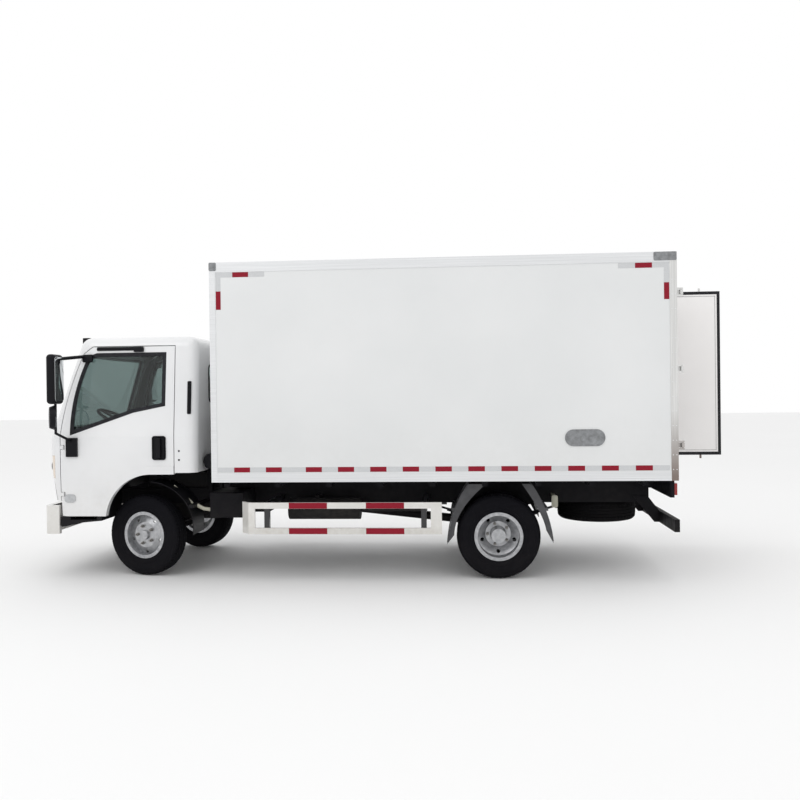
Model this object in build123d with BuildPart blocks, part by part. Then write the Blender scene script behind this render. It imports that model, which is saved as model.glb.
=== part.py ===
from build123d import *
from math import cos, radians, sin, sqrt
import os

os.makedirs("parts", exist_ok=True)

# Millimetres. X runs to the rear, Y to the truck's right, Z up from the ground.
# Along the truck every place is a station: the distance behind the bumper's front.

# Wheels and axles
tyre_radius = 389
tyre_width = 200
tread_width = 150
rim_flange_radius = 225
rim_bead_radius = 203
rim_width = 152
hand_hole_count = 5
front_overhang = 1015
wheelbase = 3360
front_track_half = 752
rear_track_half = 712
twin_half_spacing = 112
kingpin_y = 665
kingpin_radius = 16
spindle_radius = 30
rear_spindle_radius = 45
shaft_clearance = 0.3
steer_rest = -15
running_gap = 8

# Ladder frame
rail_outer_y = 375
rail_flange = 65
rail_web = 7
rail_bottom_z = 640
rail_depth = 150
crossmember_stations = (300, 2200, 3100, 3950, 4800, 5800)
frame_front_station = 230
frame_rear_station = 5850
bearer_sill_height = 80
spring_y = 380
spring_width = 70
leaf_thickness = 12
spring_eye_drop = 30

# Cab
cab_half_width = 960
cab_rear_station = 1540
cab_wall = 60
cab_front_bottom_z = 737
cab_floor_z = 805
cab_rear_bottom_z = 1000
cab_belt_z = 1345
cab_roof_z = 2300
cab_floor_thickness = 30
glass_thickness = 6
glass_inset = 8
door_front_station = 218
door_rear_station = 1324
door_bottom_z = 590
door_top_z = 2205
door_hinge_inset = 18
door_pin_depth = 10
door_pin_radius = 6
door_barrel_radius = 11
door_notch_radius = 24
door_sweep_depth = 106
door_sweep_length = 130
door_hinge_heights = (800, 1250)
arch_station = 1100
arch_z = 540
arch_radius = 446
cab_pivot_station = 175
cab_pivot_z = 777
cab_pivot_radius = 12
pivot_y = 345

arch_flare_width = 78
arch_flare_proud = 7
liner_radius = 440
liner_thickness = 6
liner_station = 1055
liner_z = 470

# Bumper
bumper_top_z = 690
bumper_bottom_z = 420
bumper_half_width = 945
bumper_side_station = 190
bumper_bow = 45
bumper_wall = 45
bumper_arm_top_z = 660

# Insulated box
box_station = 1725
box_length = 4240
box_width = 2160
box_bottom_z = 920
box_height = 2038
box_wall = 80
trim = 4
bottom_rail_height = 85
top_rail_height = 90
corner_post_width = 56
frame_depth = 62
post_width = 95
sill_height = 75
header_height = 118

# Rear doors
leaf_gap = 5
leaf_thickness_rear = 80
leaf_proud = 6
leaf_step = 36
leaf_outer_thickness = 45
seam_y = 130
leaf_hinge_y = 1065
leaf_hinge_behind = 35
leaf_hinge_radius = 7
leaf_open_rest = 90
hinge_heights = (1236, 1917, 2598)

# Side guards
guard_y = 1055
guard_bar_thickness = 25
guard_front_station = 2062
guard_rear_station = 3855
guard_lower_z = 437
guard_upper_z = 672
guard_bar_height = 56

# Derived places
half_box = box_width / 2
open_leaf_end = box_station + box_length + leaf_proud + leaf_hinge_behind + leaf_hinge_y - seam_y
total_length = open_leaf_end - leaf_gap / 2
front = -total_length / 2
axle_front = front + front_overhang
axle_rear = axle_front + wheelbase
rail_top_z = rail_bottom_z + rail_depth
box_top_z = box_bottom_z + box_height
box_front = front + box_station
box_rear = box_front + box_length
floor_top_z = box_bottom_z + sill_height
sides = (("left", -1), ("right", 1))


def save(piece, name):
    """Label a finished piece and write it as its own STEP file."""
    piece.label = name
    export_step(piece, f"parts/{name}.step")


def block(xs, ys, zs, mode=Mode.ADD):
    """Add a box that spans three ranges to the part being built."""
    with Locations(((xs[0] + xs[1]) / 2, (ys[0] + ys[1]) / 2, (zs[0] + zs[1]) / 2)):
        Box(xs[1] - xs[0], ys[1] - ys[0], zs[1] - zs[0], mode=mode)


def side_span(sign, inner, outer):
    """The Y range from inner to outer on one side of the truck."""
    return tuple(sorted((sign * inner, sign * outer)))


def rod(start, end, radius, mode=Mode.ADD):
    """Add a round bar between two points to the part being built."""
    run = Vector(*end) - Vector(*start)
    with BuildSketch(Plane(origin=start, z_dir=run)) as section:
        Circle(radius)
    extrude(section.sketch, amount=run.length, mode=mode)


# The ladder frame: two channel rails and the crossmembers between them
with BuildPart() as chassis_frame:
    for name, sign in sides:
        with BuildSketch(Plane.YZ.offset(front + frame_front_station)):
            with BuildLine():
                outer = sign * rail_outer_y
                web = sign * (rail_outer_y - rail_web)
                flange = sign * (rail_outer_y - rail_flange)
                Polyline(
                    (outer, rail_bottom_z),
                    (outer, rail_top_z),
                    (flange, rail_top_z),
                    (flange, rail_top_z - rail_web),
                    (web, rail_top_z - rail_web),
                    (web, rail_bottom_z + rail_web),
                    (flange, rail_bottom_z + rail_web),
                    (flange, rail_bottom_z),
                    close=True,
                )
            make_face()
        extrude(amount=frame_rear_station - frame_front_station)
    for station in crossmember_stations:
        x = front + station
        inner = rail_outer_y - rail_web
        block((x - 35, x + 35), (-inner, inner), (rail_bottom_z + 50, rail_top_z - 20))
save(chassis_frame.part, "chassis_frame")

# Two sub-frame sills on the rails and the cross bearers that carry the box floor
bearer_stations = [1850 + 480 * i for i in range(9)]
sill_top_z = rail_top_z + bearer_sill_height
with BuildPart() as box_bearers:
    for name, sign in sides:
        ys = side_span(sign, rail_outer_y - rail_flange, rail_outer_y)
        block((box_front + 30, front + frame_rear_station), ys, (rail_top_z, sill_top_z))
    for station in bearer_stations:
        x = front + station
        block((x - 25, x + 25), (-half_box + 60, half_box - 60), (sill_top_z, box_bottom_z))
save(box_bearers.part, "box_bearers")

# The front axle beam: a dropped forging with an eye at each end for the kingpin
eye_half_height = 44
eye_radius = 36
with BuildPart() as front_axle:
    with BuildSketch(Plane.YZ.offset(axle_front - 35)):
        with BuildLine():
            Polyline(
                (-kingpin_y, tyre_radius - 30),
                (-560, tyre_radius - 30),
                (-470, tyre_radius - 75),
                (470, tyre_radius - 75),
                (560, tyre_radius - 30),
                (kingpin_y, tyre_radius - 30),
                (kingpin_y, tyre_radius + 30),
                (540, tyre_radius + 30),
                (450, tyre_radius - 5),
                (-450, tyre_radius - 5),
                (-540, tyre_radius + 30),
                (-kingpin_y, tyre_radius + 30),
                close=True,
            )
        make_face()
    extrude(amount=70)
    for name, sign in sides:
        with Locations((axle_front, sign * kingpin_y, tyre_radius)):
            Cylinder(eye_radius, 2 * eye_half_height)
            Cylinder(kingpin_radius + shaft_clearance, 3 * eye_half_height, mode=Mode.SUBTRACT)
save(front_axle.part, "front_axle")

# The rear axle: a banjo housing with tubes that end in the spindles of the twin wheels
rear_hub_y = rear_track_half + twin_half_spacing
with BuildPart() as rear_axle:
    with BuildSketch(Plane.XY.offset(tyre_radius)):
        with BuildLine():
            Polyline(
                (axle_rear, -rear_hub_y - 20),
                (axle_rear + rear_spindle_radius, -rear_hub_y - 20),
                (axle_rear + rear_spindle_radius, -570),
                (axle_rear + 60, -570),
                (axle_rear + 60, -200),
                (axle_rear + 150, -90),
                (axle_rear + 150, 90),
                (axle_rear + 60, 200),
                (axle_rear + 60, 570),
                (axle_rear + rear_spindle_radius, 570),
                (axle_rear + rear_spindle_radius, rear_hub_y + 20),
                (axle_rear, rear_hub_y + 20),
                close=True,
            )
        make_face()
    revolve(axis=Axis((axle_rear, 0, tyre_radius), (0, 1, 0)), revolution_arc=360)
save(rear_axle.part, "rear_axle")

# Leaf springs: a curved pack on each axle pad, its eyes held in hangers under the rail
spring_half_span = 580
front_pad_z = tyre_radius - 5
rear_pad_z = tyre_radius + 60
with BuildPart() as leaf_springs:
    for axle, pad_z, leaves in ((axle_front, front_pad_z, 4), (axle_rear, rear_pad_z, 6)):
        pack = leaves * leaf_thickness
        eye_z = rail_bottom_z - spring_eye_drop
        rise = eye_z - (pad_z + pack - leaf_thickness / 2)
        for name, sign in sides:
            with BuildSketch(Plane.XZ.offset(-sign * spring_y)):
                for leaf in range(leaves):
                    share = 1 - 0.16 * leaf
                    reach = spring_half_span * share
                    low = pad_z + pack - (leaf + 1) * leaf_thickness
                    tip = low + rise * share**2
                    with BuildLine():
                        top_arc = ThreePointArc(
                            (axle - reach, tip + leaf_thickness),
                            (axle, low + leaf_thickness),
                            (axle + reach, tip + leaf_thickness),
                        )
                        Line(top_arc @ 1, (axle + reach, tip))
                        ThreePointArc((axle + reach, tip), (axle, low), (axle - reach, tip))
                        Line((axle - reach, tip), top_arc @ 0)
                    make_face()
                with Locations((axle - spring_half_span, eye_z), (axle + spring_half_span, eye_z)):
                    Circle(22)
            extrude(amount=spring_width / 2, both=True)
            for end in (-1, 1):
                x = axle + end * spring_half_span
                block(
                    (x - 22, x + 22),
                    side_span(sign, spring_y - 35, spring_y + 35),
                    (eye_z, rail_bottom_z),
                )
save(leaf_springs.part, "leaf_springs")

# Engine and gearbox, one plain heavy block between the rails under the cab
with BuildPart() as engine:
    block((front + 800, front + 1560), (-270, 270), (470, 940))
    block((front + 1560, front + 2050), (-160, 160), (520, 830))
    fillet(engine.edges().filter_by(Axis.Z), radius=30)
save(engine.part, "engine")

# The propeller shaft from the gearbox to the axle's nose
with BuildPart() as propshaft:
    rod((front + 2030, 0, 640), (axle_rear - 120, 0, tyre_radius + 10), 42)
    add(engine.part, mode=Mode.SUBTRACT)
    add(rear_axle.part, mode=Mode.SUBTRACT)
save(propshaft.part, "propshaft")

# Fuel tank on the right rail, battery box and air reservoir on the left rail
with BuildPart() as fuel_tank:
    with BuildSketch(Plane.YZ.offset(front + 2420)):
        with Locations((640, 590)):
            RectangleRounded(460, 320, 70)
    extrude(amount=900)
    for x in (2600, 3120):
        block((front + x, front + x + 50), (rail_outer_y, 420), (650, 740))
save(fuel_tank.part, "fuel_tank")

with BuildPart() as battery_box:
    block((front + 1640, front + 1960), (-860, -rail_outer_y), (560, 800))
    fillet(battery_box.edges().filter_by(Axis.X), radius=12)
save(battery_box.part, "battery_box")

# Air cleaner across the gap behind the cab, on a post from the left rail, with its intake above
cleaner_station = 1633
cleaner_z = 1095
cleaner_radius = 80
with BuildPart() as air_cleaner:
    cleaner_x = front + cleaner_station
    rod((cleaner_x, -790, cleaner_z), (cleaner_x, -420, cleaner_z), cleaner_radius)
    fillet(air_cleaner.edges(), 18)
    rod((cleaner_x, -500, cleaner_z), (cleaner_x, -500, 1420), 45)
    block((cleaner_x - 50, cleaner_x + 50), (-560, -440), (1400, 1500))
    bracket_xs = (cleaner_x - 25, cleaner_x + 5)
    block(bracket_xs, (-440, -410), (rail_top_z - 60, cleaner_z))
    block(bracket_xs, (-440, -rail_outer_y), (rail_top_z - 60, rail_top_z - 20))
save(air_cleaner.part, "air_cleaner")

# Silencer under the left rail with its tail pipe
with BuildPart() as silencer:
    rod((front + 2350, -560, 610), (front + 3050, -560, 610), 105)
    rod((front + 3050, -560, 610), (front + 3700, -560, 610), 30)
    block((front + 2600, front + 2640), (-560, -rail_outer_y), (690, 730))
save(silencer.part, "silencer")


def tyre_outline(offset):
    """A tyre's closed half section, in (radius, y) about a wheel whose middle is at offset."""
    half = tyre_width / 2
    tread = tread_width / 2
    bead = rim_width / 2 - 8
    shoulder = tyre_radius - 14
    inner = rim_bead_radius + shaft_clearance
    with BuildLine() as outline:
        Line((inner, offset - bead), (inner, offset + bead))
        Line((inner, offset + bead), (rim_flange_radius + 2, offset + bead))
        ThreePointArc(
            (rim_flange_radius + 2, offset + bead),
            (0.45 * rim_flange_radius + 0.55 * shoulder, offset + half),
            (shoulder, offset + tread),
        )
        ThreePointArc(
            (shoulder, offset + tread), (tyre_radius, offset), (shoulder, offset - tread)
        )
        ThreePointArc(
            (shoulder, offset - tread),
            (0.45 * rim_flange_radius + 0.55 * shoulder, offset - half),
            (rim_flange_radius + 2, offset - bead),
        )
        Line((rim_flange_radius + 2, offset - bead), (inner, offset - bead))
    make_face(outline.edges())


def rim_outline(offset, out, disc, hub_out):
    """A rim's section: a barrel with two flanges and a disc that runs to the hub."""
    half = rim_width / 2
    barrel = rim_bead_radius - 9
    with BuildLine() as outline:
        Polyline(
            (rim_bead_radius, offset - half + 8),
            (rim_bead_radius, offset + half - 8),
            (rim_flange_radius, offset + half - 8),
            (rim_flange_radius, offset + half),
            (barrel, offset + half),
            (barrel, offset + out * disc + 6),
            (120, offset + out * (disc + hub_out) + 6),
            (120, offset + out * (disc + hub_out) - 6),
            (barrel, offset + out * disc - 6),
            (barrel, offset - half),
            (rim_flange_radius, offset - half),
            (rim_flange_radius, offset - half + 8),
            close=True,
        )
    make_face(outline.edges())


# Front wheels: each a tyre on a steel rim with a convex disc
wheel_plane = Plane(origin=(axle_front, 0, tyre_radius), x_dir=(1, 0, 0), z_dir=(0, 0, 1))
for name, sign in sides:
    steer_pin = Axis((axle_front, sign * kingpin_y, 0), (0, 0, 1))
    middle = sign * front_track_half
    with BuildPart() as tyre:
        with BuildSketch(wheel_plane):
            tyre_outline(middle)
        revolve(axis=Axis((axle_front, 0, tyre_radius), (0, 1, 0)))
    save(tyre.part.rotate(steer_pin, steer_rest), f"front_tyre_{name}")

    with BuildPart() as rim:
        with BuildSketch(wheel_plane):
            rim_outline(middle, sign, 5, 40)
        revolve(axis=Axis((axle_front, 0, tyre_radius), (0, 1, 0)))
        with BuildSketch(wheel_plane):
            with BuildLine():
                near = middle - sign * 20
                face = middle + sign * 51
                cap = middle + sign * 78
                Polyline(
                    (spindle_radius + shaft_clearance, near),
                    (62, near),
                    (62, face - sign * 14),
                    (121, face - sign * 14),
                    (121, face),
                    (48, face),
                    (42, cap),
                    (0, cap),
                    (0, face - sign * 4),
                    (spindle_radius + shaft_clearance, face - sign * 4),
                    close=True,
                )
            make_face()
        revolve(axis=Axis((axle_front, 0, tyre_radius), (0, 1, 0)))
        disc_plane = Plane(origin=(axle_front, middle, tyre_radius), x_dir=(1, 0, 0), z_dir=(0, 1, 0))
        with Locations(disc_plane):
            with PolarLocations(163, hand_hole_count, start_angle=18):
                Cylinder(17, tyre_width, mode=Mode.SUBTRACT)
    save(rim.part.rotate(steer_pin, steer_rest), f"front_rim_{name}")

    # The knuckle: a fork round the axle's eye, the kingpin through both, and the spindle
    with BuildPart() as knuckle:
        pin_y = sign * kingpin_y
        near_arm, far_arm = eye_half_height + 2, eye_half_height + 22
        for low, high in ((near_arm, far_arm), (-far_arm, -near_arm)):
            block(
                (axle_front - 34, axle_front + 34),
                side_span(sign, kingpin_y - 34, kingpin_y + 56),
                (tyre_radius + low, tyre_radius + high),
            )
        block(
            (axle_front - 34, axle_front + 34),
            side_span(sign, kingpin_y + 40, kingpin_y + 56),
            (tyre_radius - eye_half_height - 22, tyre_radius + eye_half_height + 22),
        )
        with Locations((axle_front, pin_y, tyre_radius)):
            Cylinder(kingpin_radius, 2 * eye_half_height + 60)
        rod(
            (axle_front, sign * (kingpin_y + 50), tyre_radius),
            (axle_front, sign * (front_track_half + 45), tyre_radius),
            spindle_radius,
        )
    save(knuckle.part.rotate(steer_pin, steer_rest), f"knuckle_{name}")

# Rear twin wheels: two tyres, and two rims bolted back to back on one hub
rear_plane = Plane(origin=(axle_rear, 0, tyre_radius), x_dir=(1, 0, 0), z_dir=(0, 0, 1))
rear_spin = Axis((axle_rear, 0, tyre_radius), (0, 1, 0))
for name, sign in sides:
    with BuildPart() as tyres:
        for twin in (-1, 1):
            with BuildSketch(rear_plane):
                tyre_outline(sign * (rear_track_half + twin * twin_half_spacing))
            revolve(axis=rear_spin)
    save(tyres.part, f"rear_tyres_{name}")

    with BuildPart() as rims:
        for twin in (-1, 1):
            with BuildSketch(rear_plane):
                middle = sign * (rear_track_half + twin * twin_half_spacing)
                rim_outline(middle, -sign * twin, 55, 43)
            revolve(axis=rear_spin)
        with BuildSketch(rear_plane):
            near = sign * (rear_track_half - 14)
            face = sign * (rear_track_half + 14)
            nose = sign * (rear_track_half + 90)
            hub_end = sign * (rear_hub_y + 25)
            with BuildLine():
                Polyline(
                    (rear_spindle_radius + shaft_clearance, sign * 590),
                    (80, sign * 590),
                    (80, near),
                    (121, near),
                    (121, face),
                    (78, face),
                    (70, nose),
                    (66, hub_end + sign * 10),
                    (0, hub_end + sign * 10),
                    (0, hub_end),
                    (rear_spindle_radius + shaft_clearance, hub_end),
                    close=True,
                )
            make_face()
        revolve(axis=rear_spin)
        hub_centre = (axle_rear, sign * rear_track_half, tyre_radius)
        with Locations(Plane(origin=hub_centre, x_dir=(1, 0, 0), z_dir=(0, 1, 0))):
            with PolarLocations(158, hand_hole_count, start_angle=18):
                Cylinder(18, 2 * tyre_width, mode=Mode.SUBTRACT)
    save(rims.part, f"rear_rims_{name}")

# The spare wheel, flat under the tail of the frame on its carrier
spare_station = 5400
spare_z = rail_bottom_z - tyre_width / 2 - shaft_clearance
spare_plane = Plane(origin=(front + spare_station, 0, spare_z), x_dir=(1, 0, 0), z_dir=(0, -1, 0))
spare_spin = Axis((front + spare_station, 0, spare_z), (0, 0, 1))
with BuildPart() as spare_wheel:
    with BuildSketch(spare_plane):
        tyre_outline(0)
    revolve(axis=spare_spin)
    with BuildSketch(spare_plane):
        rim_outline(0, 1, 5, 40)
        with Locations((62, 45)):
            Rectangle(120, 12)
        with Locations((rim_bead_radius, 0)):
            Rectangle(2, rim_width / 2)
    revolve(axis=spare_spin)
save(spare_wheel.part, "spare_wheel")

# The bumper: a bowed channel with returns at its ends
with BuildPart() as front_bumper:
    with BuildSketch(Plane.XY.offset(bumper_bottom_z)) as plan:
        with BuildLine():
            ThreePointArc(
                (front + bumper_bow, -bumper_half_width),
                (front, 0),
                (front + bumper_bow, bumper_half_width),
            )
            Polyline(
                (front + bumper_bow, bumper_half_width),
                (front + bumper_side_station, bumper_half_width),
                (front + bumper_side_station, -bumper_half_width),
                (front + bumper_bow, -bumper_half_width),
            )
        make_face()
        fillet(plan.vertices().group_by(Axis.X)[0], 60)
    extrude(amount=bumper_top_z - bumper_bottom_z)
    block(
        (front + bumper_bow + bumper_wall, front + 400),
        (-bumper_half_width + bumper_wall, bumper_half_width - bumper_wall),
        (0, 1000),
        mode=Mode.SUBTRACT,
    )
    for name, sign in sides:
        block(
            (front + bumper_bow + bumper_wall - 5, front + frame_front_station),
            side_span(sign, rail_outer_y - rail_flange, rail_outer_y),
            (rail_bottom_z, bumper_arm_top_z),
        )
        block(
            (front - 10, front + bumper_bow + 18),
            side_span(sign, 560, 800),
            (bumper_bottom_z + 70, bumper_bottom_z + 170),
            mode=Mode.SUBTRACT,
        )
    block(
        (front - 10, front + 26),
        (-420, 420),
        (bumper_bottom_z + 50, bumper_bottom_z + 150),
        mode=Mode.SUBTRACT,
    )
save(front_bumper.part, "front_bumper")


def cab_volume(inset):
    """The cab's outer form, or the room inside it when inset by a wall."""
    # height, station of the front, half width, front corner radius
    sections = (
        (door_bottom_z - 1, 105, cab_half_width - 5, 170),
        (1000, 40, cab_half_width, 170),
        (cab_belt_z, 34, cab_half_width, 170),
        (cab_roof_z - inset, 345, cab_half_width - 85, 150),
    )
    bow = 46
    rear_corner = 90
    with BuildPart() as body:
        for z, station, half, corner in sections:
            half = half - inset
            x_front = front + station + inset
            x_rear = front + cab_rear_station - inset
            with BuildSketch(Plane.XY.offset(z)) as section:
                with BuildLine():
                    ThreePointArc((x_front + bow, -half), (x_front, 0), (x_front + bow, half))
                    Polyline(
                        (x_front + bow, half), (x_rear, half), (x_rear, -half), (x_front + bow, -half)
                    )
                make_face()
                corners = section.vertices().sort_by(Axis.X)
                fillet(corners[:2], corner - inset)
                corners = section.vertices().sort_by(Axis.X)
                fillet(corners[-2:], rear_corner - inset)
        loft(ruled=True)
        fillet(body.faces().sort_by(Axis.Z)[-1].edges(), 110 - inset)
    return body.part


def prism_xz(points, y_from, y_to, grow=0):
    """A prism across the truck whose side outline is a closed list of (station, height)."""
    with BuildPart() as shape:
        with BuildSketch(Plane.XZ.offset(-y_to)):
            with BuildLine():
                Polyline(*[(front + station, z) for station, z in points], close=True)
            make_face()
            if grow:
                offset(amount=grow, kind=Kind.INTERSECTION)
        extrude(amount=y_to - y_from)
    return shape.part


def door_outline(grow):
    """The cab door's outline in the side view, grown by a gap for its opening."""
    top = door_top_z
    with BuildLine() as outline:
        Polyline((front + door_front_station, door_bottom_z), (front + door_front_station, cab_belt_z))
        ThreePointArc(
            (front + door_front_station, cab_belt_z),
            (front + 290, 1760),
            (front + 430, 2140),
        )
        Polyline(
            (front + 430, 2140),
            (front + 520, top),
            (front + door_rear_station, top),
            (front + door_rear_station, arch_z + arch_radius),
            (front + arch_station, arch_z + arch_radius),
        )
        drop = door_bottom_z - arch_z
        reach = sqrt(arch_radius**2 - drop**2)
        middle = radians(135)
        ThreePointArc(
            (front + arch_station, arch_z + arch_radius),
            (front + arch_station + arch_radius * cos(middle), arch_z + arch_radius * sin(middle)),
            (front + arch_station - reach, door_bottom_z),
        )
        Line((front + arch_station - reach, door_bottom_z), (front + door_front_station, door_bottom_z))
    make_face(outline.edges())
    if grow:
        offset(amount=grow, kind=Kind.ARC)


def window_outline(grow):
    """The door window: a belt that drops to the front, and a raked front edge."""
    with BuildLine() as outline:
        ThreePointArc((front + 312, 1362), (front + 350, 1750), (front + 476, 2120))
        Polyline(
            (front + 476, 2120),
            (front + 560, 2148),
            (front + 1243, 2148),
            (front + 1240, 1634),
            (front + 930, 1573),
            (front + 312, 1362),
        )
    make_face(outline.edges())
    if grow:
        offset(amount=grow, kind=Kind.INTERSECTION)


cab_outer = cab_volume(0)
cab_inner = cab_volume(cab_wall)
flare_outer = cab_volume(-arch_flare_proud)
glass_outer = cab_volume(glass_inset)
glass_inner = cab_volume(glass_inset + glass_thickness)

# What lies below the cab's floor: open, so that the front wheels and the engine have room
floor_line = [(-60, cab_floor_z), (655, cab_floor_z), (790, cab_rear_bottom_z), (1700, cab_rear_bottom_z)]
under_floor = prism_xz(floor_line + [(1700, 300), (-60, 300)], -1100, 1100)
floor_slab = prism_xz(
    floor_line
    + [(1700, cab_rear_bottom_z + cab_floor_thickness)]
    + [(790 - 12, cab_rear_bottom_z + cab_floor_thickness)]
    + [(655 - 12, cab_floor_z + cab_floor_thickness), (-60, cab_floor_z + cab_floor_thickness)],
    -1100,
    1100,
)
low_front = prism_xz(
    [(-60, 300), (-60, cab_front_bottom_z), (1700, cab_front_bottom_z), (1700, 300)], -1100, 1100
)
windscreen_low_z = 1395
windscreen_high_z = 2150
windscreen_low_half = 850
windscreen_high_half = 780

with BuildPart() as screen_prism:
    with BuildSketch(Plane.YZ.offset(front - 100)):
        with BuildLine():
            Polyline(
                (-windscreen_low_half, windscreen_low_z),
                (windscreen_low_half, windscreen_low_z),
                (windscreen_high_half, windscreen_high_z),
                (-windscreen_high_half, windscreen_high_z),
                close=True,
            )
        make_face()
        fillet(vertices(), 60)
    extrude(amount=750)

with BuildPart() as rear_window_prism:
    with BuildSketch(Plane.YZ.offset(front + cab_rear_station - 150)):
        with Locations((0, 1850)):
            RectangleRounded(1100, 380, 60)
    extrude(amount=300)

door_prisms = {}
door_openings = {}
for name, sign in sides:
    far = 1150 * sign
    near = 640 * sign
    with BuildPart() as door_prism:
        with BuildSketch(Plane.XZ.offset(-near)):
            door_outline(0)
        extrude(amount=-(far - near))
    door_prisms[name] = door_prism.part
    with BuildPart() as door_opening:
        with BuildSketch(Plane.XZ.offset(-near)):
            door_outline(running_gap)
        extrude(amount=-(far - near))
    door_openings[name] = door_opening.part

# The cab shell: pillars, roof and rear wall; the front panel is its own pressing below the belt
with BuildPart() as cab_hollow:
    add(cab_outer)
    add(cab_inner, mode=Mode.SUBTRACT)
    add(low_front, mode=Mode.SUBTRACT)
    for name, sign in sides:
        add(door_openings[name], mode=Mode.SUBTRACT)
    add(screen_prism.part, mode=Mode.SUBTRACT)
    add(rear_window_prism.part, mode=Mode.SUBTRACT)
with BuildPart() as cab_shell:
    add(cab_hollow.part)
    add(under_floor, mode=Mode.SUBTRACT)
    block((front - 200, front + 700), (-1200, 1200), (0, cab_belt_z), mode=Mode.SUBTRACT)
save(cab_shell.part, "cab_shell")

door_pin_station = door_front_station + door_hinge_inset
door_pin_y = cab_half_width - door_pin_depth
headlamp_low_z = 950
headlamp_high_z = 1170
headlamp_inner_y = 600
grille_slots = 4
grille_low_z = 905
grille_pitch = 62
grille_bar = 16
grille_half = 520
grille_depth_station = 72
with BuildPart() as front_panel:
    add(cab_hollow.part)
    block((front - 200, front + 700), (-1200, 1200), (cab_belt_z, 2600), mode=Mode.SUBTRACT)
    block((front + 700, front + 1700), (-1200, 1200), (0, 2600), mode=Mode.SUBTRACT)
    for name, sign in sides:
        block(
            (front - 50, front + 150),
            side_span(sign, headlamp_inner_y, 1000),
            (headlamp_low_z, headlamp_high_z),
            mode=Mode.SUBTRACT,
        )
        block(
            (front + 98, front + 216),
            side_span(sign, pivot_y - 40, pivot_y + 40),
            (cab_front_bottom_z - 10, cab_pivot_z + 5),
            mode=Mode.SUBTRACT,
        )
    for row in range(grille_slots):
        z = grille_low_z + row * grille_pitch
        slot_zs = (z, z + grille_pitch - grille_bar)
        slot_xs = (front - 50, front + grille_depth_station)
        block(slot_xs, (-grille_half, grille_half), slot_zs, mode=Mode.SUBTRACT)
    for name, sign in sides:
        for z in door_hinge_heights:
            tab_ys = side_span(sign, door_pin_y - 5, door_pin_y + 5)
            tab_xs = (front + door_front_station - running_gap - 5, front + door_pin_station)
            block(tab_xs, tab_ys, (z - 18, z + 18))
            with Locations((front + door_pin_station, sign * door_pin_y, z)):
                Cylinder(door_barrel_radius, 36)
                Cylinder(door_pin_radius, 90)
save(front_panel.part, "front_panel")

with BuildPart() as headlamps:
    for name, sign in sides:
        block(
            (front - 50, front + 149),
            side_span(sign, headlamp_inner_y + 1, 999),
            (headlamp_low_z + 1, headlamp_high_z - 1),
        )
    add(cab_outer, mode=Mode.INTERSECT)
    add(cab_inner, mode=Mode.SUBTRACT)
save(headlamps.part, "headlamps")

# The cab's floor: a pan that steps up over the wheels and the engine, with the tilt lugs
lug_half = 13
with BuildPart() as cab_floor:
    add(cab_inner)
    add(floor_slab, mode=Mode.INTERSECT)
    for name, sign in sides:
        block(
            (front + door_front_station - running_gap, front + door_rear_station + running_gap),
            side_span(sign, cab_half_width - cab_wall - running_gap - 4, cab_half_width),
            (cab_floor_z - 50, cab_rear_bottom_z + 100),
            mode=Mode.SUBTRACT,
        )
        block(
            (front + door_front_station - running_gap, front + door_front_station + door_sweep_length),
            side_span(sign, cab_half_width - door_sweep_depth, cab_half_width),
            (cab_floor_z - 50, cab_rear_bottom_z + 100),
            mode=Mode.SUBTRACT,
        )
    for sign in (-1, 1):
        with BuildSketch(Plane.XZ.offset(-sign * pivot_y + lug_half)):
            with Locations((front + cab_pivot_station, cab_pivot_z)):
                Circle(18)
            with Locations((front + cab_pivot_station, (cab_pivot_z + cab_floor_z) / 2)):
                Rectangle(36, cab_floor_z - cab_pivot_z)
            with Locations((front + cab_pivot_station, cab_pivot_z)):
                Circle(cab_pivot_radius + shaft_clearance, mode=Mode.SUBTRACT)
        extrude(amount=-2 * lug_half)
save(cab_floor.part, "cab_floor")

# Pivot brackets on the rail ends, and the hoop that the cab's rear rests on
cheek_thickness = 10
hoop_station = 1480
hoop_half_width = 425
with BuildPart() as cab_mounts:
    for sign in (-1, 1):
        for cheek in (-1, 1):
            y = sign * pivot_y + cheek * (lug_half + 8)
            block(
                (front + cab_pivot_station - 20, front + frame_front_station),
                (y - cheek_thickness / 2, y + cheek_thickness / 2),
                (bumper_arm_top_z, cab_pivot_z + 18),
            )
        block(
            (front + frame_front_station - 12, front + frame_front_station),
            (sign * pivot_y - 26, sign * pivot_y + 26),
            (bumper_arm_top_z, rail_top_z - 20),
        )
        rod(
            (front + cab_pivot_station, sign * pivot_y - 26, cab_pivot_z),
            (front + cab_pivot_station, sign * pivot_y + 26, cab_pivot_z),
            cab_pivot_radius,
        )
        post_ys = side_span(sign, rail_outer_y, hoop_half_width)
        block((front + hoop_station, front + hoop_station + 50), post_ys, (rail_bottom_z + 20, 985))
    hoop_top_z = cab_rear_bottom_z - shaft_clearance
    hoop_zs = (hoop_top_z - 50, hoop_top_z)
    block((front + hoop_station, front + hoop_station + 50), (-hoop_half_width, hoop_half_width), hoop_zs)
save(cab_mounts.part, "cab_mounts")

# Windscreen and rear window, on the cab's own curvature
with BuildPart() as cab_glass:
    add(screen_prism.part)
    add(rear_window_prism.part)
    add(glass_outer, mode=Mode.INTERSECT)
    add(glass_inner, mode=Mode.SUBTRACT)
save(cab_glass.part, "cab_glass")

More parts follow.
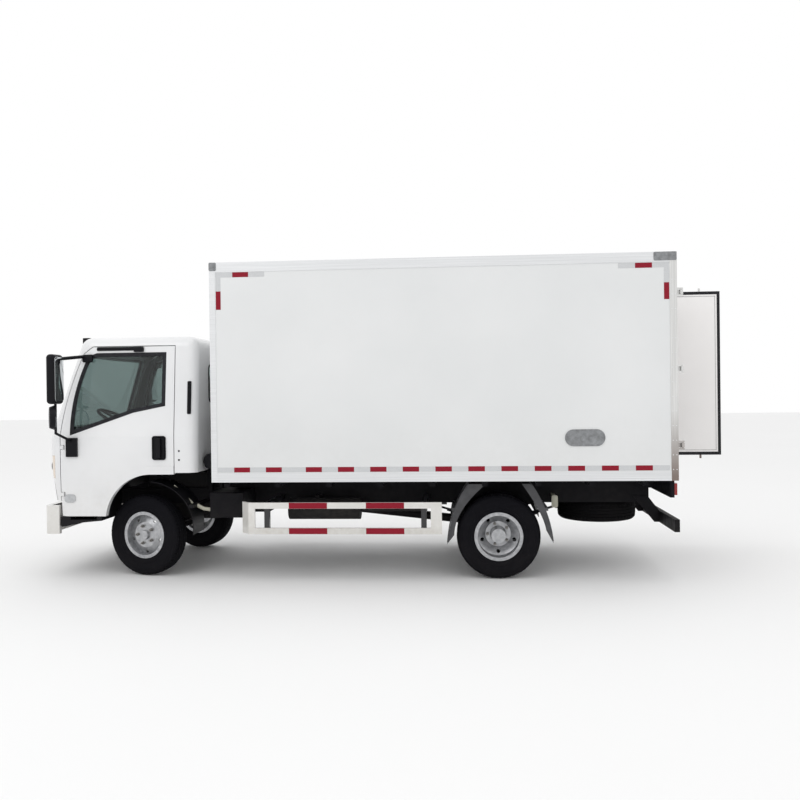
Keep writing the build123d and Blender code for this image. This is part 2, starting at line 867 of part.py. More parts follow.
# The doors' lips round the wheel arch: a raised band that follows the arch's edge
door_flares = {}
for name, sign in sides:
    with BuildPart() as flare:
        with BuildSketch(Plane.XZ.offset(-sign * (cab_half_width - cab_wall / 2))):
            with Locations((front + arch_station, arch_z)):
                Circle(arch_radius + arch_flare_width)
                Rectangle(400, arch_radius + arch_flare_width, align=(Align.MIN, Align.MIN))
        extrude(amount=-sign * cab_wall)
        add(door_prisms[name], mode=Mode.INTERSECT)
        add(flare_outer, mode=Mode.INTERSECT)
    door_flares[name] = flare.part

# Cab doors, their glass and mirrors
for name, sign in sides:
    far = 1150 * sign
    near = 640 * sign
    with BuildPart() as window_prism:
        with BuildSketch(Plane.XZ.offset(-near)):
            window_outline(0)
        extrude(amount=-(far - near))
    with BuildPart() as door:
        add(door_prisms[name])
        add(cab_outer, mode=Mode.INTERSECT)
        add(cab_inner, mode=Mode.SUBTRACT)
        add(window_prism.part, mode=Mode.SUBTRACT)
        add(door_flares[name])
        for z in door_hinge_heights:
            with Locations((front + door_pin_station, sign * door_pin_y, z)):
                Cylinder(door_notch_radius, 44, mode=Mode.SUBTRACT)
                Cylinder(door_pin_radius + shaft_clearance, 92, mode=Mode.SUBTRACT)
    save(door.part, f"cab_door_{name}")

    with BuildPart() as glass:
        add(window_prism.part)
        add(glass_outer, mode=Mode.INTERSECT)
        add(glass_inner, mode=Mode.SUBTRACT)
    save(glass.part, f"door_glass_{name}")

    with BuildPart() as mirror:
        block((front + 245, front + 330), side_span(sign, 1090, 1290), (1665, 2125))
        fillet(mirror.edges(), 34)
        dome_plane = Plane(
            origin=(front + 290, sign * 1195, 1540), x_dir=(0, 0, 1), z_dir=(-1, sign * 0.6, 0)
        )
        with BuildSketch(dome_plane):
            Ellipse(118, 92)
        with BuildSketch(dome_plane.offset(52)):
            Ellipse(97, 71)
        loft(ruled=True)
        rod((front + 290, sign * 1190, 1390), (front + 290, sign * 1190, 1700), 12)
        rod((front + 290, sign * 1196, 1395), (front + 335, sign * 950, 1300), 12)
        block((front + 281, front + 389), side_span(sign, 940, 985), (1159, 1339))
        rod((front + 290, sign * 1190, 2080), (front + 455, sign * 870, 2120), 16)
        add(cab_outer, mode=Mode.SUBTRACT)
    save(mirror.part, f"mirror_{name}")

# Black sills below the doors, deeper at the front, with a step well and the arch's front wall
step_top_z = door_bottom_z - running_gap
sill_rear_station = 610
sill_outline = [(205, step_top_z), (205, 490), (250, 492), (420, 528)]
sill_outline += [(sill_rear_station, 545), (sill_rear_station, step_top_z)]
arch_wall = 12
sills = [prism_xz(sill_outline, *side_span(sign, 720, cab_half_width - 15)) for name, sign in sides]
with BuildPart() as cab_steps:
    add(sills)
    for name, sign in sides:
        well_ys = side_span(sign, 755, cab_half_width)
        block((front + 300, front + 560), well_ys, (step_top_z - 28, step_top_z + 10), mode=Mode.SUBTRACT)
        block((front + 230, front + 560), side_span(sign, 720, 745), (step_top_z, cab_floor_z))
        wall_xs = (front + sill_rear_station - arch_wall, front + sill_rear_station)
        block(wall_xs, side_span(sign, 480, 880), (545, cab_floor_z))
save(cab_steps.part, "cab_steps")

# Front mudguards: a liner over and behind each wheel, on an arm from the frame
liner_start = radians(86)
liner_middle = radians(40)
liner_end = radians(-8)
with BuildPart() as front_mudguards:
    for name, sign in sides:
        with BuildSketch(Plane.XZ.offset(-sign * 770)):
            with BuildLine():
                arcs = []
                for radius in (liner_radius, liner_radius + liner_thickness):
                    ends = []
                    for angle in (liner_start, liner_middle, liner_end):
                        x = front + liner_station + radius * cos(angle)
                        ends.append((x, liner_z + radius * sin(angle)))
                    arcs.append(ThreePointArc(*ends))
                Line(arcs[0] @ 0, arcs[1] @ 0)
                Line(arcs[0] @ 1, arcs[1] @ 1)
            make_face()
        extrude(amount=165, both=True)
        arm_low_z = rail_bottom_z + 22
        arm_x = front + liner_station + sqrt(liner_radius**2 - (arm_low_z - liner_z) ** 2)
        arm_xs = (arm_x + 1, front + hoop_station + 20)
        block(arm_xs, side_span(sign, hoop_half_width, 930), (arm_low_z, arm_low_z + 28))
save(front_mudguards.part, "front_mudguards")

# Inside the cab: dashboard, steering wheel and seats
with BuildPart() as dashboard:
    block((front + 60, front + 420), (-860, 860), (1130, 1360))
    add(cab_inner, mode=Mode.INTERSECT)
    fillet(dashboard.edges().filter_by(Axis.Y).sort_by(Axis.X)[-2:], 60)
save(dashboard.part, "dashboard")

wheel_lean = 28
with BuildPart() as steering_wheel:
    column = (sin(radians(wheel_lean)), 0, cos(radians(wheel_lean)))
    wheel_at = Plane(origin=(front + 560, -430, 1500), z_dir=column)
    with Locations(wheel_at):
        Torus(205, 15)
        Box(400, 34, 16)
        Cylinder(55, 40)
    rod((front + 560, -430, 1500), (front + 380, -430, 1160), 28)
    block((front - 100, front + 420), (-600, -300), (1000, 1360), mode=Mode.SUBTRACT)
save(steering_wheel.part, "steering_wheel")

with BuildPart() as seats:
    seat_base_z = cab_rear_bottom_z + cab_floor_thickness + shaft_clearance
    for y_low, y_high in ((-690, -180), (-140, 760)):
        block((front + 800, front + 1330), (y_low, y_high), (seat_base_z, 1330))
        with BuildSketch(Plane.XZ.offset(-y_high)):
            with BuildLine():
                Polyline(
                    (front + 1230, 1330),
                    (front + 1350, 1330),
                    (front + 1460, 1960),
                    (front + 1350, 1990),
                    close=True,
                )
            make_face()
        extrude(amount=y_high - y_low)
save(seats.part, "seats")

# The insulated box: floor, walls and roof as sandwich panels
inner_half = half_box - box_wall
panel_front = box_front + box_wall
panel_rear = box_rear - frame_depth
wall_top_z = box_top_z - box_wall
with BuildPart() as box_floor:
    block((panel_front, panel_rear), (-inner_half, inner_half), (box_bottom_z, floor_top_z))
save(box_floor.part, "box_floor")

for name, sign in sides:
    with BuildPart() as wall:
        block(
            (panel_front, panel_rear),
            side_span(sign, inner_half, half_box - trim),
            (box_bottom_z, wall_top_z),
        )
    save(wall.part, f"box_{name}_wall")

with BuildPart() as box_front_wall:
    block(
        (box_front + trim, panel_front),
        (-half_box + trim, half_box - trim),
        (box_bottom_z, box_top_z - trim),
    )
    block(
        (box_front, box_front + trim),
        (-half_box + corner_post_width, half_box - corner_post_width),
        (box_bottom_z + bottom_rail_height, box_top_z - top_rail_height),
    )
save(box_front_wall.part, "box_front_wall")

with BuildPart() as box_roof:
    block(
        (panel_front, panel_rear),
        (-half_box + trim, half_box - trim),
        (wall_top_z, box_top_z - trim),
    )
save(box_roof.part, "box_roof")

# Edge trim: ribbed aluminium rails along the bottom, plain ones on top and up the front corners
rail_groove = 5
rail_groove_count = 4
with BuildPart() as box_trim:
    for name, sign in sides:
        ys = side_span(sign, half_box - trim, half_box)
        block((box_front, panel_rear), ys, (box_bottom_z, box_bottom_z + bottom_rail_height))
        groove_ys = side_span(sign, half_box - trim / 2, half_box + trim)
        for row in range(rail_groove_count):
            z = box_bottom_z + (row + 1) * bottom_rail_height / (rail_groove_count + 1)
            groove_zs = (z - rail_groove / 2, z + rail_groove / 2)
            block((box_front - trim, panel_rear + trim), groove_ys, groove_zs, mode=Mode.SUBTRACT)
        block((box_front, panel_rear), ys, (box_top_z - top_rail_height, box_top_z))
        block((box_front, box_front + corner_post_width), ys, (box_bottom_z, box_top_z))
        roof_ys = side_span(sign, half_box - top_rail_height, half_box)
        block((box_front, panel_rear), roof_ys, (box_top_z - trim, box_top_z))
        front_ys = side_span(sign, half_box - corner_post_width, half_box)
        block((box_front, box_front + trim), front_ys, (box_bottom_z, box_top_z))
    full = (-half_box, half_box)
    block((box_front, box_front + trim), full, (box_top_z - top_rail_height, box_top_z))
    block((box_front, box_front + trim), full, (box_bottom_z, box_bottom_z + bottom_rail_height))
    block((box_front, box_front + top_rail_height), full, (box_top_z - trim, box_top_z))
save(box_trim.part, "box_trim")

# The stainless door frame at the rear, with the hinge pins in their brackets
opening_half = half_box - post_width
opening_low_z = floor_top_z
opening_high_z = box_top_z - header_height
pin_x = box_rear + leaf_proud + leaf_hinge_behind
with BuildPart() as rear_frame:
    block((panel_rear, box_rear), (-half_box, half_box), (box_bottom_z, box_top_z))
    block(
        (panel_rear - 10, box_rear + 10),
        (-opening_half, opening_half),
        (opening_low_z, opening_high_z),
        mode=Mode.SUBTRACT,
    )
    for name, sign in sides:
        pin_y = sign * leaf_hinge_y
        for z in hinge_heights:
            for low, high in ((24, 38), (-38, -24)):
                ear_ys = side_span(sign, leaf_hinge_y - 14, leaf_hinge_y + 14)
                block((box_rear, pin_x), ear_ys, (z + low, z + high))
                with Locations((pin_x, pin_y, z + (low + high) / 2)):
                    Cylinder(14, high - low)
            with Locations((pin_x, pin_y, z)):
                Cylinder(leaf_hinge_radius, 76)
save(rear_frame.part, "rear_frame")

# Rear doors: an insulated leaf with a stepped plug, its seal, and its hinges and lock rods
for name, sign, swing in (("left", -1, 0), ("right", 1, leaf_open_rest)):
    outer_edge = sign * (opening_half - leaf_gap)
    seam_edge = seam_y + sign * leaf_gap / 2
    low, high = sorted((outer_edge, seam_edge))
    leaf_low_z = opening_low_z + leaf_gap
    leaf_high_z = opening_high_z - leaf_gap
    face_x = box_rear + leaf_proud
    step_x = face_x - leaf_outer_thickness
    pin = Axis((pin_x, sign * leaf_hinge_y, 0), (0, 0, 1))
    with BuildPart() as leaf:
        block((step_x, face_x), (low, high), (leaf_low_z, leaf_high_z))
        block(
            (face_x - leaf_thickness_rear, step_x),
            (low + leaf_step, high - leaf_step),
            (leaf_low_z + leaf_step, leaf_high_z - leaf_step),
        )
    save(leaf.part.rotate(pin, swing), f"rear_door_{name}")

    with BuildPart() as seal:
        block((face_x - leaf_thickness_rear + 8, step_x), (low, high), (leaf_low_z, leaf_high_z))
        block(
            (face_x - leaf_thickness_rear, step_x + 1),
            (low + leaf_step, high - leaf_step),
            (leaf_low_z + leaf_step, leaf_high_z - leaf_step),
            mode=Mode.SUBTRACT,
        )
    save(seal.part.rotate(pin, swing), f"rear_door_seal_{name}")

    with BuildPart() as hardware:
        for z in hinge_heights:
            strap_ys = side_span(sign, opening_half - 220, leaf_hinge_y - 12)
            block((face_x, face_x + 7), strap_ys, (z - 20, z + 20))
            knuckle_ys = side_span(sign, leaf_hinge_y - 24, leaf_hinge_y - 12)
            block((face_x, pin_x + 8), knuckle_ys, (z - 20, z + 20))
            with Locations((pin_x, sign * leaf_hinge_y, z)):
                Cylinder(15, 40)
                Cylinder(leaf_hinge_radius + shaft_clearance, 60, mode=Mode.SUBTRACT)
        rod_y = seam_edge + sign * 200
        with Locations((face_x + 25, rod_y, (leaf_low_z + leaf_high_z) / 2)):
            Cylinder(12, leaf_high_z - leaf_low_z + 90)
        for z in (leaf_low_z + 60, 1300, 1700, leaf_high_z - 60):
            block((face_x, face_x + 42), (rod_y - 30, rod_y + 30), (z - 25, z + 25))
        handle_ys = sorted((rod_y, rod_y + sign * 260))
        block((face_x + 18, face_x + 32), handle_ys, (1480, 1510))
    save(hardware.part.rotate(pin, swing), f"rear_door_locks_{name}")

# Side guards: two bars between end plates, carried by arms from the rails
for name, sign in sides:
    with BuildPart() as guard:
        bar_ys = side_span(sign, guard_y - guard_bar_thickness, guard_y)
        guard_top = guard_upper_z + guard_bar_height
        for z in (guard_lower_z, guard_upper_z):
            block(
                (front + guard_front_station, front + guard_rear_station),
                bar_ys,
                (z, z + guard_bar_height),
            )
        for start, end in (
            (guard_front_station, guard_front_station + 60),
            (guard_rear_station - 100, guard_rear_station),
        ):
            block((front + start, front + end), bar_ys, (guard_lower_z, guard_top))
        return_station = guard_front_station - 81
        with BuildSketch(Plane.XY.offset(guard_lower_z)):
            with BuildLine():
                Polyline(
                    (front + guard_front_station, sign * guard_y),
                    (front + return_station, sign * (guard_y - 95)),
                    (front + return_station + 20, sign * (guard_y - 108)),
                    (front + guard_front_station + 20, sign * (guard_y - guard_bar_thickness)),
                    close=True,
                )
            make_face()
        extrude(amount=guard_top - guard_lower_z)
        for station in (2230, 3690):
            x = front + station
            inner_y = guard_y - guard_bar_thickness
            block((x - 25, x + 25), side_span(sign, inner_y - 40, inner_y), (guard_lower_z, guard_top))
            block((x - 25, x + 25), side_span(sign, rail_outer_y, inner_y), (guard_top - 50, guard_top))
    save(guard.part, f"side_guard_{name}")

# Rear mudguards: curved flaps before and behind each pair of twins, on arms from the rails
with BuildPart() as rear_mudguards:
    for name, sign in sides:
        for points in (
            ((-275, 880), (-405, 640), (-471, 344)),
            ((300, 880), (425, 640), (493, 354)),
        ):
            end = 1 if points[0][0] > 0 else -1
            with BuildSketch(Plane.XZ.offset(-sign * 765)):
                with BuildLine():
                    inner = ThreePointArc(*[(axle_rear + x, z) for x, z in points])
                    outer = ThreePointArc(*[(axle_rear + x + end * 7, z) for x, z in points])
                    Line(inner @ 0, outer @ 0)
                    Line(inner @ 1, outer @ 1)
                make_face()
            extrude(amount=165, both=True)
            arm_x = axle_rear + points[1][0] + end * 14
            arm_z = points[1][1] + 6
            block((arm_x - 14, arm_x + 14), side_span(sign, rail_outer_y, 930), (arm_z - 14, arm_z + 14))
save(rear_mudguards.part, "rear_mudguards")

# Rear underrun beam on its brackets, and the lamp bar with the tail lamps
with BuildPart() as rear_underrun:
    block((front + 5945, front + 5990), (-1000, 1000), (449, 561))
    for name, sign in sides:
        with BuildSketch(Plane.XZ.offset(-sign * (rail_outer_y + 6))):
            with BuildLine():
                Polyline(
                    (front + 5700, 700),
                    (front + 5840, 700),
                    (front + 5946, 561),
                    (front + 5946, 449),
                    (front + 5900, 449),
                    close=True,
                )
            make_face()
        extrude(amount=6, both=True)
save(rear_underrun.part, "rear_underrun")

with BuildPart() as lamp_bar:
    block((front + 5900, front + 5935), (-1040, 1040), (765, box_bottom_z))
    for name, sign in sides:
        block((front + frame_rear_station, front + 5900), side_span(sign, 320, 375), (780, 860))
save(lamp_bar.part, "lamp_bar")

with BuildPart() as tail_lamps:
    for name, sign in sides:
        block((front + 5935, front + 5965), side_span(sign, 700, 1020), (785, 890))
save(tail_lamps.part, "tail_lamps")
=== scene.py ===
import math

import bmesh
import bpy
from mathutils import Matrix, Vector


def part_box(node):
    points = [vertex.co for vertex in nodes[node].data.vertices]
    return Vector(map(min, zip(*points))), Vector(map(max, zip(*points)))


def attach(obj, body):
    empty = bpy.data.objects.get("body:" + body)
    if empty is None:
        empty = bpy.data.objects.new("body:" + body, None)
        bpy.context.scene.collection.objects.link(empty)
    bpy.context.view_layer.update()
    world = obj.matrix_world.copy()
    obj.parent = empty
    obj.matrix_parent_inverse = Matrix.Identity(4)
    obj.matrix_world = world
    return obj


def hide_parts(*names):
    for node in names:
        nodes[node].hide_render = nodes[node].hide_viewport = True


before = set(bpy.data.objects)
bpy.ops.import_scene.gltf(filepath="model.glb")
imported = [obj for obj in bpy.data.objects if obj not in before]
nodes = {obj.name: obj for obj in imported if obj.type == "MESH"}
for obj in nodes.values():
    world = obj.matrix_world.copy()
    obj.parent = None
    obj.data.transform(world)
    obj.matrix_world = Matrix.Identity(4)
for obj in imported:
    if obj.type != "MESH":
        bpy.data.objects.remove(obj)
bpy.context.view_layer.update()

# The insulated body: sandwich panels with a white gel-coated glass-fibre skin on foam.
# The skins are pressed flat, so they only ripple faintly, and they gather dust low down.


class Field:
    """A number or colour that changes over a surface, used in sums as if it were a number."""

    def __init__(self, paint, socket):
        self.paint = paint
        self.socket = socket

    def out(self, name):
        return Field(self.paint, self.socket.node.outputs[name])

    def math(self, operation, *others, clamp=False):
        settings = {"operation": operation, "use_clamp": clamp}
        return self.paint.add("ShaderNodeMath", settings, {0: self, **dict(enumerate(others, 1))})

    def __add__(self, other):
        return self.math("ADD", other)

    def __sub__(self, other):
        return self.math("SUBTRACT", other)

    def __mul__(self, other):
        return self.math("MULTIPLY", other)

    def __rsub__(self, other):
        return self.math("MULTIPLY_ADD", -1.0, other)

    def __gt__(self, other):
        return self.math("GREATER_THAN", other)

    def __abs__(self):
        return self.math("ABSOLUTE")

    __radd__ = __add__
    __rmul__ = __mul__


class Paint:
    """One finish: a material, its main shader, and one way to add any node to it."""

    def __init__(self, name, **sockets):
        self.material = bpy.data.materials.new(name)
        self.material.use_nodes = True
        self.tree = self.material.node_tree
        self.shader = self.tree.nodes["Principled BSDF"]
        for key, value in sockets.items():
            self.shader.inputs[key.replace("_", " ").title().replace("Ior", "IOR")].default_value = value
        self.place = self.add("ShaderNodeTexCoord").out("Object")

    def add(self, kind, settings=None, inputs=None):
        node = self.tree.nodes.new(kind)
        for key, value in (settings or {}).items():
            if key != "stops":
                setattr(node, key, value)
                continue
            elements = node.color_ramp.elements
            while len(elements) < len(value):
                elements.new(0.5)
            for element, (spot, shade) in zip(elements, value):
                element.position = spot
                element.color = (*shade, 1) if isinstance(shade, tuple) else (shade, shade, shade, 1)
        for key, value in (inputs or {}).items():
            if isinstance(value, Field):
                self.tree.links.new(value.socket, node.inputs[key])
            else:
                node.inputs[key].default_value = value
        return Field(self, node.outputs[0])

    def axis(self, letter):
        return self.add("ShaderNodeSeparateXYZ", None, {0: self.place}).out(letter)

    def noise(self, scale, detail=3.0, stretch=(1, 1, 1)):
        spread = self.add("ShaderNodeMapping", None, {"Vector": self.place, "Scale": stretch})
        return self.add("ShaderNodeTexNoise", None, {"Vector": spread, "Scale": scale, "Detail": detail})

    def ramp(self, value, *stops):
        return self.add("ShaderNodeValToRGB", {"stops": stops}, {0: value})

    def mottle(self, scale, detail, dark, light):
        """Soft patches between two colours."""
        return self.ramp(self.noise(scale, detail), (0.3, dark), (0.7, light))

    def blend(self, share, first, second):
        first, second = [(*c, 1) if isinstance(c, tuple) else c for c in (first, second)]
        mixed = self.add("ShaderNodeMix", {"data_type": "RGBA"}, {0: share, 6: first, 7: second})
        return Field(self, mixed.socket.node.outputs[2])

    def feed(self, **fields):
        for key, value in fields.items():
            self.tree.links.new(value.socket, self.shader.inputs[key.replace("_", " ").title()])

    def bump(self, height, strength, distance):
        inputs = {"Height": height, "Strength": strength, "Distance": distance}
        self.feed(normal=self.add("ShaderNodeBump", None, inputs))

    def onto(self, *names):
        for name in names:
            data = nodes[name].data
            data.materials.clear()
            data.materials.append(self.material)


def low_dust(paint, top, clean, dust, amount):
    """The clean colour with road dust that thickens towards the ground, below a height."""
    fade = (top - paint.axis("Z")) * (1 / top)
    patches = paint.noise(2.3, 6.0) * paint.noise(19.0, 4.0) * 2.6
    share = (fade * patches * amount).math("MAXIMUM", 0.0, clamp=True)
    return paint.blend(share, clean, dust)


def into_scene(name, data):
    """A new object in the scene, at the origin."""
    made = bpy.data.objects.new(name, data)
    bpy.context.scene.collection.objects.link(made)
    return made


sharp_angle = math.radians(35)


def place_piece(name, shape, paint, body):
    """Make an object of a finished shape, give it its finish, and let it ride on its body."""
    bmesh.ops.recalc_face_normals(shape, faces=shape.faces)
    mesh = bpy.data.meshes.new(name)
    shape.to_mesh(mesh)
    shape.free()
    mesh.shade_smooth()
    mesh.set_sharp_from_angle(angle=sharp_angle)
    mesh.materials.append(paint.material)
    piece = into_scene(name, mesh)
    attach(piece, body)
    return piece


def slab(shape, low, high, along=1, corner=0.0, edge=0.0, steps=5):
    """Add a block between two corners, rounded about one axis, then softened round its two ends."""
    before = set(shape.faces)
    low, high = Vector(low), Vector(high)
    spot = Matrix.Translation((low + high) / 2) @ Matrix.Diagonal((*(high - low), 1))
    verts = bmesh.ops.create_cube(shape, size=1, matrix=spot)["verts"]
    settings = {"profile": 0.5, "affect": "EDGES", "material": -1}
    if corner:
        edges = {line for vert in verts for line in vert.link_edges}
        runs = {line: (line.verts[1].co - line.verts[0].co).normalized() for line in edges}
        posts = [line for line in edges if abs(runs[line][along]) > 0.9]
        bmesh.ops.bevel(shape, geom=posts, offset=corner, segments=steps, **settings)
    shape.normal_update()
    ends = [face for face in shape.faces if face not in before and abs(face.normal[along]) > 0.99]
    if edge:
        rims = list({line for face in ends for line in face.edges})
        bmesh.ops.bevel(shape, geom=rims, offset=edge, segments=2, **settings)
        shape.normal_update()
        ends = [face for face in shape.faces if face not in before and abs(face.normal[along]) > 0.99]
    return sorted(ends, key=lambda face: face.calc_center_median()[along])


def across(sign, inner, outer):
    """The two Y values of a span on one side, in rising order."""
    return sorted((sign * inner, sign * outer))


sides = (("left", -1), ("right", 1))
bumper_front_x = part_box("front_bumper")[0].x


def station(millimetres):
    """The X of a place given as millimetres behind the bumper's front."""
    return bumper_front_x + millimetres / 1000


walls = ("box_left_wall", "box_right_wall", "box_front_wall", "box_roof")
leaves = ("rear_door_left", "rear_door_right")
# A skin's name, its coat, the scale and two tones of its patches, its dust and its panels
for name, coat, scale, dark, light, dust, panels in (
    ("white_box_skin", 0.15, 0.9, (0.70, 0.712, 0.715), (0.75, 0.758, 0.76), 0.35, walls),
    # The leaves carry the walls' white skin in brighter tones: painted light lifting them against the shade
    # the box casts on them
    ("white_leaf_skin_painted_bright", 0.1, 1.1, (0.86, 0.84, 0.83), (0.9, 0.885, 0.875), 0.2, leaves),
):
    skin = Paint(name, roughness=0.3, coat_weight=coat, coat_roughness=0.2)
    skin_tone = skin.mottle(scale, 4.0, dark, light)
    skin.feed(base_color=low_dust(skin, 1.6, skin_tone, (0.5, 0.49, 0.46), dust))
    skin.feed(roughness=skin.noise(7.0, 4.0) * 0.12 + 0.26)
    skin.bump(skin.noise(3.0, 1.0) + skin.noise(220.0, 2.0) * 0.04, 0.12, 0.004)
    skin.onto(*panels)

# The edge rails: extruded aluminium, mill finish, with the fine lines of the die along them.
# They are riveted over the panels' edges and sealed, and grey moulded caps close the corners.
rail_metal = Paint("extruded_aluminium", metallic=0.55, roughness=0.4)
rail_lines = rail_metal.noise(60.0, 3.0, (0.02, 1, 6))
rail_metal.feed(base_color=rail_metal.ramp(rail_lines, (0.3, (0.66, 0.67, 0.68)), (0.7, (0.8, 0.81, 0.82))))
rail_metal.feed(roughness=rail_lines * 0.2 + 0.3)
rail_metal.bump(rail_lines, 0.15, 0.0005)
rail_metal.onto("box_trim", "box_floor", "fuel_tank")
grey_moulding = Paint("grey_moulding", roughness=0.5)
cap_scuff = grey_moulding.noise(30.0, 5.0)
cap_tone = grey_moulding.ramp(cap_scuff, (0.3, (0.16, 0.165, 0.17)), (0.7, (0.27, 0.28, 0.29)))
grey_moulding.feed(base_color=cap_tone)
grey_moulding.bump(grey_moulding.noise(300.0, 2.0), 0.2, 0.0005)

box_low, box_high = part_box("box_trim")
skin_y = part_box("box_right_wall")[1].y
rail_y = box_high.y
frame_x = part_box("rear_frame")[0].x
cap_proud = 0.006
cap_height = 0.078
cap_radius = 0.012
cap_top = box_high.z - 0.0005
cap_spans = ((box_low.x - 0.002, box_low.x + 0.066), (frame_x - 0.14, frame_x + 0.061))
ridge_low, ridge_high = box_high.z - 0.05, box_high.z - 0.043
caps = bmesh.new()
for side, sign in sides:
    for start, stop in cap_spans:
        near, far = across(sign, rail_y - 0.02, rail_y + cap_proud)
        slab(caps, (start, near, box_high.z - cap_height), (stop, far, cap_top), 1, cap_radius, 0.003)
        near, far = across(sign, rail_y + cap_proud - 0.001, rail_y + cap_proud + 0.002)
        slab(caps, (start + cap_radius, near, ridge_low), (stop - cap_radius, far, ridge_high))
place_piece("corner_caps", caps, grey_moulding, "chassis")

rivet_radius = 0.0055
rivet_pitch = 0.3
rivet_count = 14
post_rivet_pitch = 0.13
rivet_rows = (box_low.z + 0.076, box_high.z - 0.078)
post_columns = (frame_x + 0.016, frame_x + 0.046)
rivet_spots = []
for step in range(rivet_count):
    rivet_spots += [(box_low.x + 0.15 + rivet_pitch * step, height) for height in rivet_rows]
for step in range(rivet_count):
    rivet_spots += [(x, box_low.z + 0.1 + post_rivet_pitch * step) for x in post_columns]
rivets = bmesh.new()
for side, sign in sides:
    for x, height in rivet_spots:
        spot = Matrix.Translation((x, sign * rail_y, height))
        dome = spot @ Matrix.Diagonal((rivet_radius, 0.003, rivet_radius, 1))
        bmesh.ops.create_icosphere(rivets, subdivisions=1, radius=1, matrix=dome)
place_piece("rail_rivets", rivets, rail_metal, "chassis")

# Marking tape: red and white retroreflective vinyl, prismatic cells under a clear film.
# It is stuck along the bottom of each side and in an angle at each top corner.


def tape_finish(name, light, dark):
    """Retroreflective film: small bright cells in a darker net, under a glossy layer."""
    paint = Paint(name, roughness=0.35, specular_ior_level=0.25)
    cells = paint.add("ShaderNodeTexVoronoi", {"feature": "F1"}, {"Vector": paint.place, "Scale": 240.0})
    paint.feed(base_color=paint.ramp(cells, (0.1, light), (0.6, dark)))
    paint.bump(cells, 0.15, 0.0004)
    return paint


red_tape = tape_finish("red_tape", (0.33, 0.003, 0.022), (0.22, 0.0015, 0.014))
white_tape = tape_finish("white_tape", (0.66, 0.67, 0.68), (0.54, 0.55, 0.56))
tape_thickness = 0.0009
tape_low = 1012
tape_width = 46
red_length = 150
red_pitch = 298
first_red = 1939
red_count = 13
splice_after = 2
splice_gap = 75
tape_ends = (1785, 5890)
rolls = {"red": bmesh.new(), "white": bmesh.new()}

# The film's colour, then its first and last station and its lowest and highest point
strips = [
    ("white", 1784, 1944, 2818, 2864),
    ("red", 1944, 2094, 2818, 2864),
    ("white", 2094, 2244, 2818, 2864),
    ("white", 1786, 1832, 2690, 2818),
    ("red", 1786, 1832, 2520, 2690),
    ("white", 5452, 5601, 2818, 2864),
    ("red", 5601, 5750, 2818, 2864),
    ("white", 5750, 5898, 2818, 2864),
    ("white", 5852, 5898, 2685, 2818),
    ("red", 5852, 5898, 2535, 2685),
]
edge = tape_ends[0]
for count in range(red_count):
    start = first_red + count * red_pitch + (splice_gap if count >= splice_after else 0)
    strips.append(("white", edge, start, tape_low, tape_low + tape_width))
    strips.append(("red", start, start + red_length, tape_low, tape_low + tape_width))
    edge = start + red_length
strips.append(("white", edge, tape_ends[1], tape_low, tape_low + tape_width))
for side, sign in sides:
    near, far = across(sign, skin_y - 0.0002, skin_y + tape_thickness)
    for colour, start, stop, low, high in strips:
        slab(rolls[colour], (station(start), near, low / 1000), (station(stop), far, high / 1000))
place_piece("box_tape_red", rolls["red"], red_tape, "chassis")
place_piece("box_tape_white", rolls["white"], white_tape, "chassis")

# The oval cover low on the left wall: a dark moulding with a raised rim, screwed at its ends.
# Its face is plain, and sunk a little inside the rim.
oval_low = Vector((station(4969), -skin_y - 0.008, 1.233))
oval_high = Vector((station(5325), -skin_y + 0.001, 1.384))
oval_end_radius = 0.0745
rim_width, rim_height = 0.009, 0.003
screw_inset = 0.03
screw_size = Matrix.Diagonal((0.007, 0.003, 0.007, 1))


def sink(shape, face, rim, depth):
    """Leave a rim round one face, and push the rest of it in."""
    bmesh.ops.inset_region(shape, faces=[face], thickness=rim, depth=-depth)


oval = bmesh.new()
oval_face = slab(oval, oval_low, oval_high, 1, oval_end_radius, 0.003, 12)[0]
sink(oval, oval_face, rim_width, rim_height)
for x in (oval_low.x + screw_inset, oval_high.x - screw_inset):
    screw = Matrix.Translation((x, oval_low.y + rim_height, (oval_low.z + oval_high.z) / 2)) @ screw_size
    bmesh.ops.create_icosphere(oval, subdivisions=2, radius=1, matrix=screw)
place_piece("oval_cover", oval, grey_moulding, "chassis")

# The rear frame and its door hardware: brushed stainless steel, the grain up and down.
# The frame is folded and welded, and a painted brown reflection darkens it towards the bottom.
steel = Paint("brushed_stainless", metallic=0.75, roughness=0.35)
grain = steel.noise(90.0, 3.0, (1, 1, 0.02))
steel_clean = steel.ramp(grain, (0.3, (0.6, 0.6, 0.59)), (0.7, (0.74, 0.74, 0.73)))
# Painted reflection: a brown tone, deepening towards the bottom, stands in for the ground mirrored in the
# steel
painted_brown_reflection = ((1.55 - steel.axis("Z")) * 1.7).math("MAXIMUM", 0.0, clamp=True)
steel.feed(base_color=steel.blend(painted_brown_reflection, steel_clean, (0.23, 0.185, 0.165)))
steel.feed(roughness=grain * 0.25 + 0.25)
steel.bump(grain, 0.1, 0.0004)
steel.onto("rear_frame", "rear_door_locks_left", "rear_door_locks_right")

# Door seals: soft black rubber tube, pushed into a rail round each leaf.
# A bead of grey sealant frames the leaf's inner skin, and two steel strikers stand on it.
rubber = Paint("black_rubber", roughness=0.6, specular_ior_level=0.25)
rubber.feed(base_color=rubber.mottle(30.0, 4.0, (0.006, 0.006, 0.008), (0.018, 0.018, 0.022)))
rubber.bump(rubber.noise(300.0, 2.0), 0.2, 0.0005)
rubber.onto("rear_door_seal_left", "rear_door_seal_right")
bead_paint = Paint("grey_sealant", roughness=0.5)
bead_paint.feed(base_color=bead_paint.mottle(60.0, 3.0, (0.4, 0.4, 0.4), (0.5, 0.5, 0.5)))
bead_inset = 0.052
bead_width = 0.007
bead_height = 0.0015
plate_inward, plate_width, plate_half, plate_proud = 0.05, 0.045, 0.045, 0.006
nose_inward, nose_width, nose_half, nose_proud = 0.012, 0.018, 0.02, 0.018
striker_heights = (2.003, 1.108)


